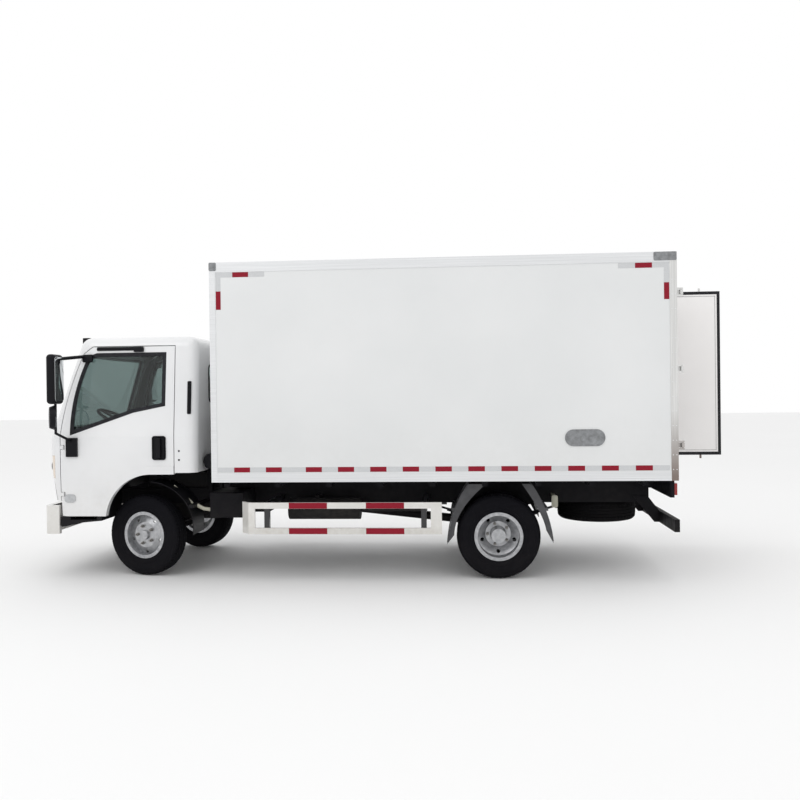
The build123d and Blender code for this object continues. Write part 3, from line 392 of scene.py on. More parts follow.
def on_skin(shape, low, skin_axis, run, heights, proud, corner=0.0):
    """A flat block on a leaf's inner skin, from its span along the leaf and its span upwards."""
    start, stop = Vector((0, 0, heights[0])), Vector((0, 0, heights[1]))
    start[skin_axis], stop[skin_axis] = low[skin_axis] - proud, low[skin_axis] + 0.001
    start[1 - skin_axis], stop[1 - skin_axis] = run
    slab(shape, start, stop, skin_axis, corner)


for side, sign in sides:
    low, high = map(Vector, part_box(f"rear_door_{side}"))
    # The inner skin faces the left side on the leaf that stands open, and forward on the other
    skin_axis = 1 if side == "right" else 0
    leaf = (low, skin_axis)
    run = (low[1 - skin_axis] + bead_inset, high[1 - skin_axis] - bead_inset)
    heights = (low.z + bead_inset, high.z - bead_inset)
    beads = bmesh.new()
    on_skin(beads, *leaf, run, (heights[0], heights[0] + bead_width), bead_height)
    on_skin(beads, *leaf, run, (heights[1] - bead_width, heights[1]), bead_height)
    on_skin(beads, *leaf, (run[0], run[0] + bead_width), heights, bead_height)
    on_skin(beads, *leaf, (run[1] - bead_width, run[1]), heights, bead_height)
    place_piece(f"leaf_bead_{side}", beads, bead_paint, f"rear_door_{side}")
    strikers = bmesh.new()
    plate = run[0] + plate_inward
    nose = plate + nose_inward
    for height in striker_heights:
        plate_span = (height - plate_half, height + plate_half)
        nose_span = (height - nose_half, height + nose_half)
        on_skin(strikers, *leaf, (plate, plate + plate_width), plate_span, plate_proud, 0.008)
        on_skin(strikers, *leaf, (nose, nose + nose_width), nose_span, nose_proud)
    place_piece(f"leaf_strikers_{side}", strikers, steel, f"rear_door_{side}")

# Chassis, bearers, springs and brackets: black chassis paint, dusty and worn at the edges.
# Plated U-bolts clamp each spring to its axle, over a forged pad.
chassis_paint = Paint("black_chassis_paint", roughness=0.5, specular_ior_level=0.1)
chassis_clean, chassis_dust = (0.004, 0.004, 0.006), (0.045, 0.04, 0.036)
chassis_paint.feed(base_color=low_dust(chassis_paint, 1.1, chassis_clean, chassis_dust, 0.45))
chassis_paint.feed(roughness=chassis_paint.noise(14.0, 5.0) * 0.35 + 0.35)
chassis_paint.bump(chassis_paint.noise(90.0, 4.0), 0.2, 0.001)
chassis_paint.onto(
    "chassis_frame", "box_bearers", "leaf_springs", "propshaft", "battery_box", "lamp_bar",
    "rear_underrun", "cab_mounts", "cab_floor",
)


def pipe(shape, points, radius):
    """Add a round bar or hose along a run of points."""
    line = bpy.data.curves.new("run", "CURVE")
    line.dimensions = "3D"
    line.bevel_depth = radius
    line.bevel_resolution = 2
    line.use_fill_caps = True
    run = line.splines.new("POLY")
    run.points.add(len(points) - 1)
    for point, place in zip(run.points, points):
        point.co = (*place, 1)
    holder = bpy.data.objects.new("run", line)
    mesh = bpy.data.meshes.new_from_object(holder)
    shape.from_mesh(mesh)
    bpy.data.objects.remove(holder)
    bpy.data.meshes.remove(mesh)
    bpy.data.curves.remove(line)


front_axle_x = (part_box("front_axle")[0].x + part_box("front_axle")[1].x) / 2
rear_axle_x = (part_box("rear_tyres_left")[0].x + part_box("rear_tyres_left")[1].x) / 2
plated = Paint("dull_zinc", metallic=0.7, roughness=0.45)
plated.feed(base_color=plated.mottle(80.0, 4.0, (0.2, 0.19, 0.18), (0.32, 0.31, 0.29)))
spring_y = 0.380
spring_half = 0.035
bolt_radius = 0.008
bolt_spread = 0.052
bolt_half = spring_half + 0.01
# Each axle's place, and the height of the bolts' feet and of their bends
bolt_rows = ((front_axle_x, 0.30, 0.446), (rear_axle_x, 0.325, 0.535))
u_bolts = bmesh.new()
for axle_x, low, high in bolt_rows:
    for side, sign in sides:
        inner, outer = sign * (spring_y - bolt_half), sign * (spring_y + bolt_half)
        for x in (axle_x - bolt_spread, axle_x + bolt_spread):
            bend = [(x, inner, low), (x, inner, high), (x, outer, high), (x, outer, low)]
            pipe(u_bolts, bend, bolt_radius)
place_piece("spring_u_bolts", u_bolts, plated, "chassis")

# Axles, knuckles, engine and silencer: rough castings, oiled and dusty.
# Sand-cast surfaces keep their grain under the paint.
casting = Paint("rough_casting", metallic=0.1, roughness=0.6, specular_ior_level=0.15)
casting.feed(base_color=low_dust(casting, 1.2, (0.01, 0.01, 0.012), (0.07, 0.062, 0.054), 0.6))
casting.bump(casting.noise(140.0, 4.0), 0.4, 0.002)
casting.onto("front_axle", "rear_axle", "knuckle_left", "knuckle_right", "engine", "silencer")

# Side guards: white painted steel bars, with lengths of red reflective film on the outer face.
# The film is laid on each bar at the same two places.
guard_reds = bmesh.new()
guard_bars = ((0.437, 0.493), (0.672, 0.728))
guard_strips = ((2442, 2799), (3159, 3511))
for side, sign in sides:
    guard_y = max(abs(corner.y) for corner in map(Vector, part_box(f"side_guard_{side}")))
    near, far = across(sign, guard_y - 0.0002, guard_y + 0.001)
    for low, high in guard_bars:
        for start, stop in guard_strips:
            slab(guard_reds, (station(start), near, low + 0.001), (station(stop), far, high - 0.001))
place_piece("guard_tape", guard_reds, red_tape, "chassis")

# Rear mudguards: grey polyethylene, scuffed to a lighter grey, with a skirt down each outer edge.
# A pale stay and a hose show behind the front wheel, and a cream bracket hangs behind the rear ones.
flap = Paint("grey_mudguard", roughness=0.6)
flap_scuff = flap.noise(9.0, 5.0)
flap.feed(base_color=flap.ramp(flap_scuff, (0.3, (0.04, 0.04, 0.044)), (0.75, (0.075, 0.075, 0.08))))
flap.bump(flap.noise(60.0, 3.0), 0.1, 0.001)
flap.onto("rear_mudguards")
pale_steel = Paint("pale_painted_steel", roughness=0.5)
pale_steel.feed(base_color=low_dust(pale_steel, 1.0, (0.5, 0.49, 0.4), (0.25, 0.22, 0.16), 0.3))
pale_steel.bump(pale_steel.noise(120.0, 3.0), 0.1, 0.0006)
skirt_steps = 12
skirt_thickness = 0.004
# Outer and inner edge of a skirt: three points each, as distances behind the axle and heights
skirt_edges = (
    (((-0.275, 0.88), (-0.405, 0.64), (-0.478, 0.325)), ((-0.115, 0.88), (-0.335, 0.64), (-0.410, 0.41))),
    (((0.300, 0.88), (0.425, 0.64), (0.498, 0.335)), ((0.215, 0.88), (0.365, 0.64), (0.432, 0.455))),
)
flap_y = abs(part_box("rear_mudguards")[0].y)


def raise_faces(shape, faces, move):
    """Extrude faces, and carry the new ones off by a vector."""
    made = bmesh.ops.extrude_face_region(shape, geom=faces)
    raised = [item for item in made["geom"] if isinstance(item, bmesh.types.BMVert)]
    bmesh.ops.translate(shape, verts=raised, vec=move)


skirts = bmesh.new()
for side, sign in sides:
    for outer, inner in skirt_edges:
        rails = []
        for first, middle, last in (outer, inner):
            first, middle, last = Vector(first), Vector(middle), Vector(last)
            bow = middle * 2 - (first + last) / 2
            shares = [count / skirt_steps for count in range(skirt_steps + 1)]
            run = [first * (1 - t) ** 2 + bow * 2 * t * (1 - t) + last * t * t for t in shares]
            verts = [skirts.verts.new((rear_axle_x + x, sign * (flap_y - 0.001), z)) for x, z in run]
            rails.append([skirts.edges.new(pair) for pair in zip(verts, verts[1:])])
        web = bmesh.ops.bridge_loops(skirts, edges=rails[0] + rails[1])
        bmesh.ops.recalc_face_normals(skirts, faces=web["faces"])
        raise_faces(skirts, web["faces"], (0, sign * skirt_thickness, 0))
place_piece("mudguard_skirts", skirts, flap, "chassis")
stay_radius = 0.013
hose_radius = 0.018
stays = bmesh.new()
for side, sign in sides:
    pipe(stays, [(station(1262), sign * 0.79, 0.862), (station(1445), sign * 0.79, 0.69)], stay_radius)
hose = [(station(1490), -0.80, 0.676), (station(1560), -0.80, 0.64), (station(1650), -0.80, 0.63)]
pipe(stays, hose, hose_radius)
rail_face_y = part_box("chassis_frame")[0].y
slab(stays, (station(4905), -0.60, 0.70), (station(4935), rail_face_y, 0.73), 0, 0.004)
slab(stays, (station(4890), -0.61, 0.62), (station(4950), -0.60, 0.736), 1, 0.018, 0.002)
place_piece("mudguard_stays", stays, pale_steel, "chassis")

# Cab, bumper and side guards: pressed steel in white two-pack paint with a clear gloss.
# Inside, the panels carry a grey lining, one wall's depth behind the skin. Guard arms are black.
cab_wall = 0.055
belt_z = 1.345
roof_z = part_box("cab_shell")[1].z
cab_rear_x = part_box("cab_shell")[1].x
belt_half = 0.960
side_lean = 0.085 / 0.955
nose_x = station(34)
screen_rake = 0.311 / 0.955
nose_bow = 0.023 / 0.48


def side_half(height):
    """The cab's half width at a height: upright to the belt, then leaning in."""
    return belt_half - side_lean * max(0.0, height - belt_z)


def nose_face(y, height):
    """The X of the cab's front skin: bowed in plan, and raked above the belt."""
    lean = screen_rake * max(0.0, height - belt_z) + 0.0174 * max(0.0, belt_z - height)
    return nose_x + lean + nose_bow * y * y


def onto_side(shape, sign):
    """Bend a piece, built with Y as its height above the skin, onto one side of the cab."""
    for vert in shape.verts:
        vert.co.y = sign * (side_half(vert.co.z) + vert.co.y)


def onto_nose(shape):
    """Bend a piece, built with X as its height above the skin, onto the cab's front."""
    for vert in shape.verts:
        vert.co.x = nose_face(vert.co.y, vert.co.z) - vert.co.x


cab_paint = Paint("white_cab_paint", roughness=0.28, coat_weight=0.6, coat_roughness=0.06)
cab_tone = cab_paint.mottle(1.6, 3.0, (0.73, 0.735, 0.745), (0.79, 0.794, 0.80))
outside = low_dust(cab_paint, 1.2, cab_tone, (0.55, 0.52, 0.47), 0.5)
height = cab_paint.axis("Z")
above_belt = (height - belt_z).math("MAXIMUM", 0.0)
depth_side = belt_half - above_belt * side_lean - abs(cab_paint.axis("Y"))
bow_here = cab_paint.axis("Y") * cab_paint.axis("Y") * nose_bow
depth_nose = cab_paint.axis("X") - above_belt * screen_rake - bow_here - nose_x
depth_rear = cab_rear_x - cab_paint.axis("X")
depth_roof = roof_z - height
deepest = depth_side.math("MINIMUM", depth_nose).math("MINIMUM", depth_rear).math("MINIMUM", depth_roof)
lining = cab_paint.mottle(500.0, 2.0, (0.1, 0.1, 0.1), (0.16, 0.16, 0.16))
cab_paint.feed(base_color=cab_paint.blend(deepest > cab_wall, outside, lining))
cab_paint.bump(cab_paint.noise(160.0, 2.0), 0.03, 0.0005)
cab_paint.onto("cab_shell", "front_panel", "cab_door_left", "cab_door_right")
gloss_white = Paint("white_gloss_enamel", roughness=0.3, coat_weight=0.5, coat_roughness=0.08)
enamel_tone = gloss_white.mottle(2.1, 3.0, (0.70, 0.695, 0.67), (0.77, 0.765, 0.745))
white_part = low_dust(gloss_white, 0.9, enamel_tone, (0.42, 0.38, 0.32), 0.9)
bar_back_y = 1.0305
behind_bars = (bar_back_y - abs(gloss_white.axis("Y"))) > 0.0
on_guard = gloss_white.axis("X") > station(2085)
gloss_white.feed(base_color=gloss_white.blend(behind_bars * on_guard, white_part, (0.006, 0.006, 0.008)))
gloss_white.bump(gloss_white.noise(160.0, 2.0), 0.04, 0.0005)
gloss_white.onto("front_bumper", "side_guard_left", "side_guard_right")
# Two fine ribs run along each guard bar between the lengths of film
guard_ribs = bmesh.new()
rib_half = 0.0025
rib_proud = 0.0016
rib_runs = ((2064, guard_strips[0][0]), (guard_strips[0][1], guard_strips[1][0]), (guard_strips[1][1], 3853))
for side, sign in sides:
    near, far = across(sign, guard_y - 0.0005, guard_y + rib_proud)
    for low, high in guard_bars:
        for share in (0.33, 0.67):
            rib_low, rib_high = low + (high - low) * share - rib_half, low + (high - low) * share + rib_half
            for start, stop in rib_runs:
                slab(guard_ribs, (station(start), near, rib_low), (station(stop), far, rib_high), 0)
place_piece("guard_ribs", guard_ribs, gloss_white, "chassis")

# Black mouldings: mirrors, steps, liners and air intake in grained polypropylene.
# The door handles, pillar vents, grommets and rain visors are the same material, clipped on.
moulding = Paint("black_moulding", roughness=0.45, specular_ior_level=0.15)
moulding.feed(base_color=low_dust(moulding, 1.0, (0.005, 0.005, 0.007), (0.045, 0.04, 0.037), 0.35))
moulding.bump(moulding.noise(420.0, 3.0), 0.25, 0.0006)
moulding.onto("mirror_left", "mirror_right", "cab_steps", "front_mudguards", "air_cleaner")
badge_metal = Paint("satin_badge", metallic=0.6, roughness=0.35)
badge_metal.feed(base_color=badge_metal.mottle(40.0, 3.0, (0.42, 0.43, 0.44), (0.52, 0.53, 0.54)))
vent_ribs = 12
vent_rib_low = 1.57
vent_rib_pitch = 0.0245
vent_rib_height = 0.009
grommet_radius = 0.009
grommet_heights = (1.122, 1.207)
for side, sign in sides:
    # Corners are a station, a height above the skin and a height above the ground
    handle = bmesh.new()
    dish = slab(handle, (station(1118), 0.0, 1.123), (station(1251), 0.014, 1.351), 1, 0.024, 0.004)[-1]
    sink(handle, dish, 0.012, 0.01)
    slab(handle, (station(1163), 0.004, 1.143), (station(1206), 0.034, 1.331), 1, 0.012, 0.007)
    visor = bmesh.new()
    slab(visor, (station(561), 0.0, 2.168), (station(984), 0.014, 2.203), 1, 0.01, 0.004)
    slab(visor, (station(926), 0.0, 2.152), (station(1023), 0.022, 2.203), 1, 0.01, 0.005)
    slab(visor, (station(425), 0.0, 2.06), (station(527), 0.03, 2.135), 1, 0.014, 0.008)
    vent = bmesh.new()
    grid = slab(vent, (station(1454), 0.0, 1.555), (station(1493), 0.006, 1.868), 1, 0.01, 0.002)[-1]
    sink(vent, grid, 0.004, 0.004)
    for row in range(vent_ribs):
        low = vent_rib_low + row * vent_rib_pitch
        slab(vent, (station(1459), 0.001, low), (station(1488), 0.007, low + vent_rib_height), 1, 0.002)
    grommets = bmesh.new()
    for middle in grommet_heights:
        low, high = middle - grommet_radius, middle + grommet_radius
        slab(grommets, (station(1367), 0.0, low), (station(1385), 0.003, high), 1, 0.0088, 0.001)
    badge = bmesh.new()
    shield = slab(badge, (station(252), 0.0, 0.722), (station(362), 0.004, 0.800), 1, 0.03, 0.0015)[-1]
    sink(badge, shield, 0.006, 0.0015)
    for name, shape, paint, body, slot in (
        ("door_handle", handle, moulding, f"cab_door_{side}", "black_plastic"),
        ("rain_visor", visor, moulding, f"cab_door_{side}", "black_plastic"),
        ("pillar_vent", vent, moulding, "cab", "black_plastic"),
        ("pillar_grommets", grommets, moulding, "cab", "black_plastic"),
        ("bare_badge", badge, badge_metal, f"cab_door_{side}", "aluminium"),
    ):
        onto_side(shape, sign)
        place_piece(f"{name}_{side}", shape, paint, body)

# Roof marker lamps: small dark lenses on rubber feet at the front corners of the roof.
# Each narrows towards its top, and lens and foot are made here as one black piece.
marker_taper = (0.55, 0.8, 1)
markers = bmesh.new()
for side, sign in sides:
    near, far = across(sign, 0.665, 0.735)
    top = slab(markers, (station(343), near, 2.235), (station(420), far, 2.308), 2, 0.012, 0.006)[-1]
    about_top = Matrix.Translation(-top.calc_center_median())
    bmesh.ops.scale(markers, verts=top.verts, vec=marker_taper, space=about_top)
place_piece("roof_markers", markers, moulding, "cab")

# Glass: toughened and green tinted, thin enough to see the seats and the wheel through.
# Each pane sits in a black rubber seal that laps over the glass and the panel's edge.
glass = Paint("green_glass", roughness=0.02, ior=1.45, transmission_weight=1.0)
glass.feed(base_color=glass.mottle(1.2, 3.0, (0.32, 0.39, 0.38), (0.38, 0.45, 0.44)))
glass.onto("cab_glass", "door_glass_left", "door_glass_right")
seal_proud = 0.010


def pane_seal(node, toward, width, name, body):
    """A rubber seal round one pane, taken from the outer face of its glass."""
    toward = Vector(toward)
    shape = bmesh.new()
    shape.from_mesh(nodes[node].data)
    bmesh.ops.remove_doubles(shape, verts=shape.verts, dist=1e-4)
    shape.normal_update()
    middle_x = (cab_rear_x + nose_x) / 2
    others = []
    for face in shape.faces:
        wrong_pane = toward.x and (face.calc_center_median().x - middle_x) * toward.x < 0
        if wrong_pane or face.normal.dot(toward) < 0.5:
            others.append(face)
    bmesh.ops.delete(shape, geom=others, context="FACES")
    pane = list(shape.faces)
    bmesh.ops.inset_region(shape, faces=pane, thickness=width, use_boundary=True, use_even_offset=True)
    bmesh.ops.delete(shape, geom=pane, context="FACES")
    raise_faces(shape, list(shape.faces), toward * seal_proud)
    place_piece(name, shape, rubber, body)


for side, sign in sides:
    pane_seal(f"door_glass_{side}", (0, sign, 0), 0.036, f"window_seal_{side}", f"cab_door_{side}")
pane_seal("cab_glass", (-1, 0, 0), 0.03, "windscreen_seal", "cab")
pane_seal("cab_glass", (1, 0, 0), 0.024, "rear_window_seal", "cab")

# Mirror glass: silvered and slightly convex, let into the back of each black head.
# The tall pane looks straight back, and the oval one below it is turned in towards the driver.
silvering = Paint("mirror_silver", metallic=1.0, roughness=0.04)
silvering.feed(base_color=silvering.mottle(3.0, 3.0, (0.72, 0.75, 0.76), (0.8, 0.83, 0.84)))
upward = Vector((0, 0, 1))
pane_thickness = 0.003
for side, sign in sides:
    panes = bmesh.new()
    near, far = across(sign, 1.108, 1.272)
    slab(panes, (station(329), near, 1.69), (station(332.5), far, 2.10), 0, 0.03, 0.001)
    facing = Vector((1, -0.6 * sign, 0)).normalized()
    centre = Vector((station(290), sign * 1.195, 1.54)) + facing * pane_thickness / 2
    turned = Matrix((facing.cross(upward), upward, facing)).transposed().to_4x4()
    spot = Matrix.Translation(centre) @ turned @ Matrix.Diagonal((0.082, 0.108, 1, 1))
    sizes = {"radius1": 1, "radius2": 0.97, "depth": pane_thickness}
    bmesh.ops.create_cone(panes, cap_ends=True, segments=32, matrix=spot, **sizes)
    place_piece(f"mirror_panes_{side}", panes, silvering, f"cab_door_{side}")

# Lamps: clear headlamp lenses over chrome, amber at the corner, and red moulded tail lamps.
# Behind the bumper's openings stand small round fog lamps.
lens = Paint("clear_lens", roughness=0.1, coat_weight=0.8)
flutes = (lens.axis("Y") * 260.0).math("SINE")
clear_tone = lens.mottle(12.0, 3.0, (0.55, 0.56, 0.57), (0.7, 0.7, 0.7))
corner_share = ((abs(lens.axis("Y")) - 0.87) * 30.0).math("MAXIMUM", 0.0, clamp=True)
lens.feed(base_color=lens.blend(corner_share, clear_tone, (0.7, 0.6, 0.5)))
lens.bump(flutes, 0.2, 0.001)
lens.onto("headlamps")
red_lens = Paint("red_lens", roughness=0.15, coat_weight=0.4)
red_ribs = (red_lens.axis("Y") * 400.0).math("SINE")
red_lens.feed(base_color=red_lens.ramp(red_ribs, (0.0, (0.22, 0.004, 0.004)), (1.0, (0.36, 0.008, 0.008))))
red_lens.bump(red_ribs, 0.3, 0.001)
red_lens.onto("tail_lamps")
chrome = Paint("chromed_bowl", metallic=1.0, roughness=0.1)
chrome.feed(base_color=chrome.mottle(20.0, 3.0, (0.75, 0.75, 0.75), (0.85, 0.85, 0.85)))


def lamp_bowl(shape, y, z, radius):
    """A ring and a domed centre, standing on the skin with X as their height."""
    spot = Matrix.Translation((0.0005, y, z)) @ Matrix.Rotation(math.pi / 2, 4, "Y")
    ring = bmesh.ops.create_circle(shape, segments=32, radius=radius, matrix=spot)
    face = shape.faces.new(ring["verts"])
    face.normal_update()
    lift = 1 if face.normal.x > 0 else -1
    for rim, depth in ((0.1, -0.003), (0.12, 0.002), (0.35, 0.0005), (0.2, -0.002)):
        sink(shape, face, radius * rim, lift * depth)


bowls = bmesh.new()
for side, sign in sides:
    lamp_bowl(bowls, sign * 0.675, 1.06, 0.062)
    lamp_bowl(bowls, sign * 0.80, 1.06, 0.05)
onto_nose(bowls)
place_piece("headlamp_bowls", bowls, chrome, "cab")
fog = bmesh.new()
for side, sign in sides:
    lamp_bowl(fog, sign * 0.68, 0.54, 0.042)
for vert in fog.verts:
    vert.co.x = station(60) - vert.co.x
place_piece("fog_lamps", fog, lens, "chassis")

# The grille: upright black bars behind the slots of the front panel, over a dark backing.
# Bars and backing are black plastic, set behind the painted panel.
grille_bars = bmesh.new()
grille_half = 0.519
slot_count, slot_pitch, slot_height, lowest_slot = 4, 0.062, 0.044, 0.906
bar_count, bar_pitch, bar_half, first_bar_y = 33, 0.032, 0.003, -0.512
for row in range(slot_count):
    slot_low = lowest_slot + row * slot_pitch
    slot_high = slot_low + slot_height
    slab(grille_bars, (station(70.5), -grille_half, slot_low), (station(71.9), grille_half, slot_high))
    for count in range(bar_count):
        y = first_bar_y + count * bar_pitch
        near, far = y - bar_half, y + bar_half
        slab(grille_bars, (station(56), near, slot_low), (station(71), far, slot_high), 2, 0.001)
place_piece("grille_bars", grille_bars, moulding, "cab")

# Wipers: painted arms on two spindles, each with a rubber blade that lies along the screen's foot.
# The spindle has a round cap, and a short link joins it to the arm.
long_edge = 0.3
wipers = bmesh.new()
for pivot_y, tip_y in ((-0.62, -0.02), (0.10, 0.70)):
    slab(wipers, (0.012, pivot_y, 1.415), (0.02, tip_y, 1.427), 1, 0.002)
    slab(wipers, (0.0, pivot_y - 0.1, 1.432), (0.012, tip_y + 0.05, 1.438), 1, 0.001)
    slab(wipers, (0.0, pivot_y - 0.02, 1.352), (0.022, pivot_y + 0.02, 1.392), 0, 0.018)
    slab(wipers, (0.012, pivot_y - 0.008, 1.375), (0.02, pivot_y + 0.008, 1.425), 0, 0.003)
for line in list(wipers.edges):
    if abs(line.verts[0].co.y - line.verts[1].co.y) > long_edge:
        bmesh.ops.subdivide_edges(wipers, edges=[line], cuts=8)
onto_nose(wipers)
place_piece("wipers", wipers, moulding, "cab")

# Inside the cab: a dark grained dashboard with a hooded dial cluster, and a rimmed wheel.
# The hood and the four air vents are set on the dashboard.
dash = Paint("grained_dashboard", roughness=0.6)
dash.feed(base_color=dash.mottle(300.0, 2.0, (0.025, 0.025, 0.028), (0.045, 0.045, 0.048)))
dash.bump(dash.noise(500.0, 2.0), 0.3, 0.0006)
dash.onto("dashboard", "steering_wheel")
cluster = bmesh.new()
hood = slab(cluster, (station(300), -0.62, 1.352), (station(418), -0.26, 1.42), 0, 0.03, 0.008)[-1]
sink(cluster, hood, 0.012, 0.02)
vent_half = 0.06
for vent_y in (-0.72, -0.12, 0.12, 0.72):
    near, far = vent_y - vent_half, vent_y + vent_half
    panel = slab(cluster, (station(396), near, 1.25), (station(424), far, 1.31), 0, 0.012, 0.003)[-1]
    sink(cluster, panel, 0.006, 0.008)
place_piece("dial_cluster", cluster, dash, "cab")

# Seats: sprung foam pads in woven grey cloth, sewn in channels, on black moulded plinths.
# The driver has one seat, and a bench for two stands beside it.
cloth = Paint("woven_seat_cloth", roughness=0.85)
warp = (cloth.axis("Y") * 1500.0).math("SINE")
weft = (cloth.axis("Z") * 1500.0 + cloth.axis("X") * 1500.0).math("SINE")
cloth_tone = cloth.mottle(40.0, 4.0, (0.05, 0.052, 0.058), (0.08, 0.083, 0.09))
cloth.feed(base_color=cloth.blend((warp * weft) * 0.5 + 0.5, cloth_tone, (0.035, 0.036, 0.04)))
cloth.bump(warp * weft, 0.25, 0.0004)
voxel = 0.011
swell_cap = 0.018
blow_frames = 20
channel_depth = 0.009
channel_width = 0.012
back_lean = 0.12 / 0.66
back_low = 1.33


def applied(piece):
    """The mesh of a piece with its modifiers applied."""
    graph = bpy.context.evaluated_depsgraph_get()
    return bpy.data.meshes.new_from_object(piece.evaluated_get(graph))


def blown_pad(name, low, high, channels, leans):
    """A cushion: a soft-edged block, blown up as cloth, then drawn in along its sewn channels."""
    shape = bmesh.new()
    slab(shape, low, high, 2, 0.05, 0.035, 4)
    for vert in shape.verts:
        vert.co.x += back_lean * (vert.co.z - back_low) if leans else 0.0
    pad = place_piece(name, shape, cloth, "cab")
    remesh = pad.modifiers.new("skin", "REMESH")
    remesh.mode = "VOXEL"
    remesh.voxel_size = voxel
    pad.data = applied(pad)
    pad.modifiers.clear()
    rest = [vert.co.copy() for vert in pad.data.vertices]
    blow = pad.modifiers.new("blow", "CLOTH")
    blow.settings.use_pressure = True
    blow.settings.uniform_pressure_force = 4.0
    blow.settings.effector_weights.gravity = 0.0
    for tick in range(1, blow_frames + 1):
        bpy.context.scene.frame_set(tick)
    pad.data = applied(pad)
    pad.modifiers.clear()
    bpy.context.scene.frame_set(1)
    for vert, start in zip(pad.data.vertices, rest):
        move = vert.co - start
        if move.length > swell_cap:
            vert.co = start + move.normalized() * swell_cap
    normals = [vert.normal.copy() for vert in pad.data.vertices]
    for vert, normal in zip(pad.data.vertices, normals):
        for line in channels:
            vert.co -= normal * channel_depth * math.exp(-(((vert.co.y - line) / channel_width) ** 2))
    fine = pad.modifiers.new("fine", "SUBSURF")
    fine.levels = fine.render_levels = 1
    pad.data = applied(pad)
    pad.modifiers.clear()
    pad.data.shade_smooth()
    return pad


plinths = bmesh.new()
# The seat's name, its lowest and highest Y, and the lines of its sewn channels
for seat, y_low, y_high, channels in (
    ("driver", -0.69, -0.18, (-0.56, -0.435, -0.31)),
    ("bench", -0.14, 0.76, (0.0, 0.145, 0.31, 0.475, 0.62)),
):
    inner_low, inner_high = y_low + 0.018, y_high - 0.018
    cushion_low, cushion_high = (station(822), inner_low, 1.15), (station(1222), inner_high, 1.312)
    blown_pad(f"{seat}_cushion", cushion_low, cushion_high, channels, False)
    back_start, back_stop = (station(1248), inner_low, 1.20), (station(1332), inner_high, 1.945)
    blown_pad(f"{seat}_back", back_start, back_stop, channels, True)
    slab(plinths, (station(840), y_low + 0.03, 1.031), (station(1300), y_high - 0.03, 1.14), 2, 0.03, 0.006)
place_piece("seat_plinths", plinths, moulding, "cab")
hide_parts("seats")

# Tyres: black ribbed rubber with four grooves and notched shoulders, and plain ringed sidewalls.
# Each is moulded in one piece and sits on the steel rim's beads.
tread = Paint("tyre_rubber", roughness=0.75, specular_ior_level=0.06)
tread.feed(base_color=low_dust(tread, 0.9, (0.005, 0.005, 0.007), (0.03, 0.027, 0.026), 0.25))
tread.bump(tread.noise(260.0, 3.0), 0.2, 0.0008)
tyre_radius = 0.389
tyre_steps = 180
notch_every = 3
notch_depth = 0.006
notch_from = 0.3765
shoulder_low = 0.0505
# Radius and distance from the tyre's middle, from the bead out to the crown
tyre_half = (
    (204, 66), (228, 68), (231, 76), (241, 86), (253, 91), (262, 92), (265, 95), (271, 95.5), (274, 94),
    (300, 99), (320, 100), (330, 99.6), (333, 100), (337, 98.2), (352, 94.5), (356, 95), (362, 92),
    (369, 86), (375, 80), (380, 75), (384.5, 66), (385.5, 51), (377.5, 49), (377.5, 42), (387, 40),
    (388, 22), (380, 20), (380, 13), (388.8, 11), (389, 0),
)


def add_tyre(shape, centre, axis):
    """One tyre, spun about its wheel's axis, with notches cut in both shoulders."""
    outline = [(radius / 1000, half / 1000) for radius, half in tyre_half]
    outline += [(radius, -half) for radius, half in outline[-2::-1]]
    outward = Vector((1, 0, 0))
    before = set(shape.faces)
    ring = [shape.verts.new(centre + outward * radius + axis * half) for radius, half in outline]
    rim = [shape.edges.new((ring[count - 1], ring[count])) for count in range(len(ring))]
    settings = {"angle": math.tau, "steps": tyre_steps, "use_merge": True}
    bmesh.ops.spin(shape, geom=ring + rim, cent=centre, axis=axis, **settings)
    cross = axis.cross(outward)
    notched = []
    for face in shape.faces:
        if face in before:
            continue
        arm = face.calc_center_median() - centre
        half = arm.dot(axis)
        flat = arm - axis * half
        turn = math.atan2(flat.dot(cross), flat.dot(outward)) % math.tau
        count = int(turn / math.tau * tyre_steps)
        if count % notch_every == 0 and flat.length > notch_from and abs(half) > shoulder_low:
            notched.append(face)
    cut = bmesh.ops.extrude_face_region(shape, geom=notched)
    bmesh.ops.delete(shape, geom=notched, context="FACES")
    for item in cut["geom"]:
        if isinstance(item, bmesh.types.BMVert):
            arm = item.co - centre
            flat = arm - axis * arm.dot(axis)
            item.co -= flat.normalized() * notch_depth


wheel_axis = Vector((0, 1, 0))
front_track = 0.752
kingpin_y = 0.665
rear_track = 0.712
twin_half = 0.112
steer_rest = math.radians(-15)


def steered(sign):
    """The turn that the front wheels have at rest, about the kingpin of one side."""
    pin = Vector((front_axle_x, sign * kingpin_y, 0))
    return Matrix.Translation(pin) @ Matrix.Rotation(steer_rest, 4, "Z") @ Matrix.Translation(-pin)


for side, sign in sides:
    shape = bmesh.new()
    add_tyre(shape, Vector((front_axle_x, sign * front_track, tyre_radius)), wheel_axis)
    bmesh.ops.transform(shape, matrix=steered(sign), verts=shape.verts)
    front_tyre = place_piece(f"front_tread_{side}", shape, tread, f"front_wheel_{side}")
    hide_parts(f"front_tyre_{side}")
    shape = bmesh.new()
    for twin in (-1, 1):
        centre = Vector((rear_axle_x, sign * (rear_track + twin * twin_half), tyre_radius))
        add_tyre(shape, centre, wheel_axis)
    rear_tyre = place_piece(f"rear_tread_{side}", shape, tread, f"rear_wheels_{side}")
    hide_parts(f"rear_tyres_{side}")

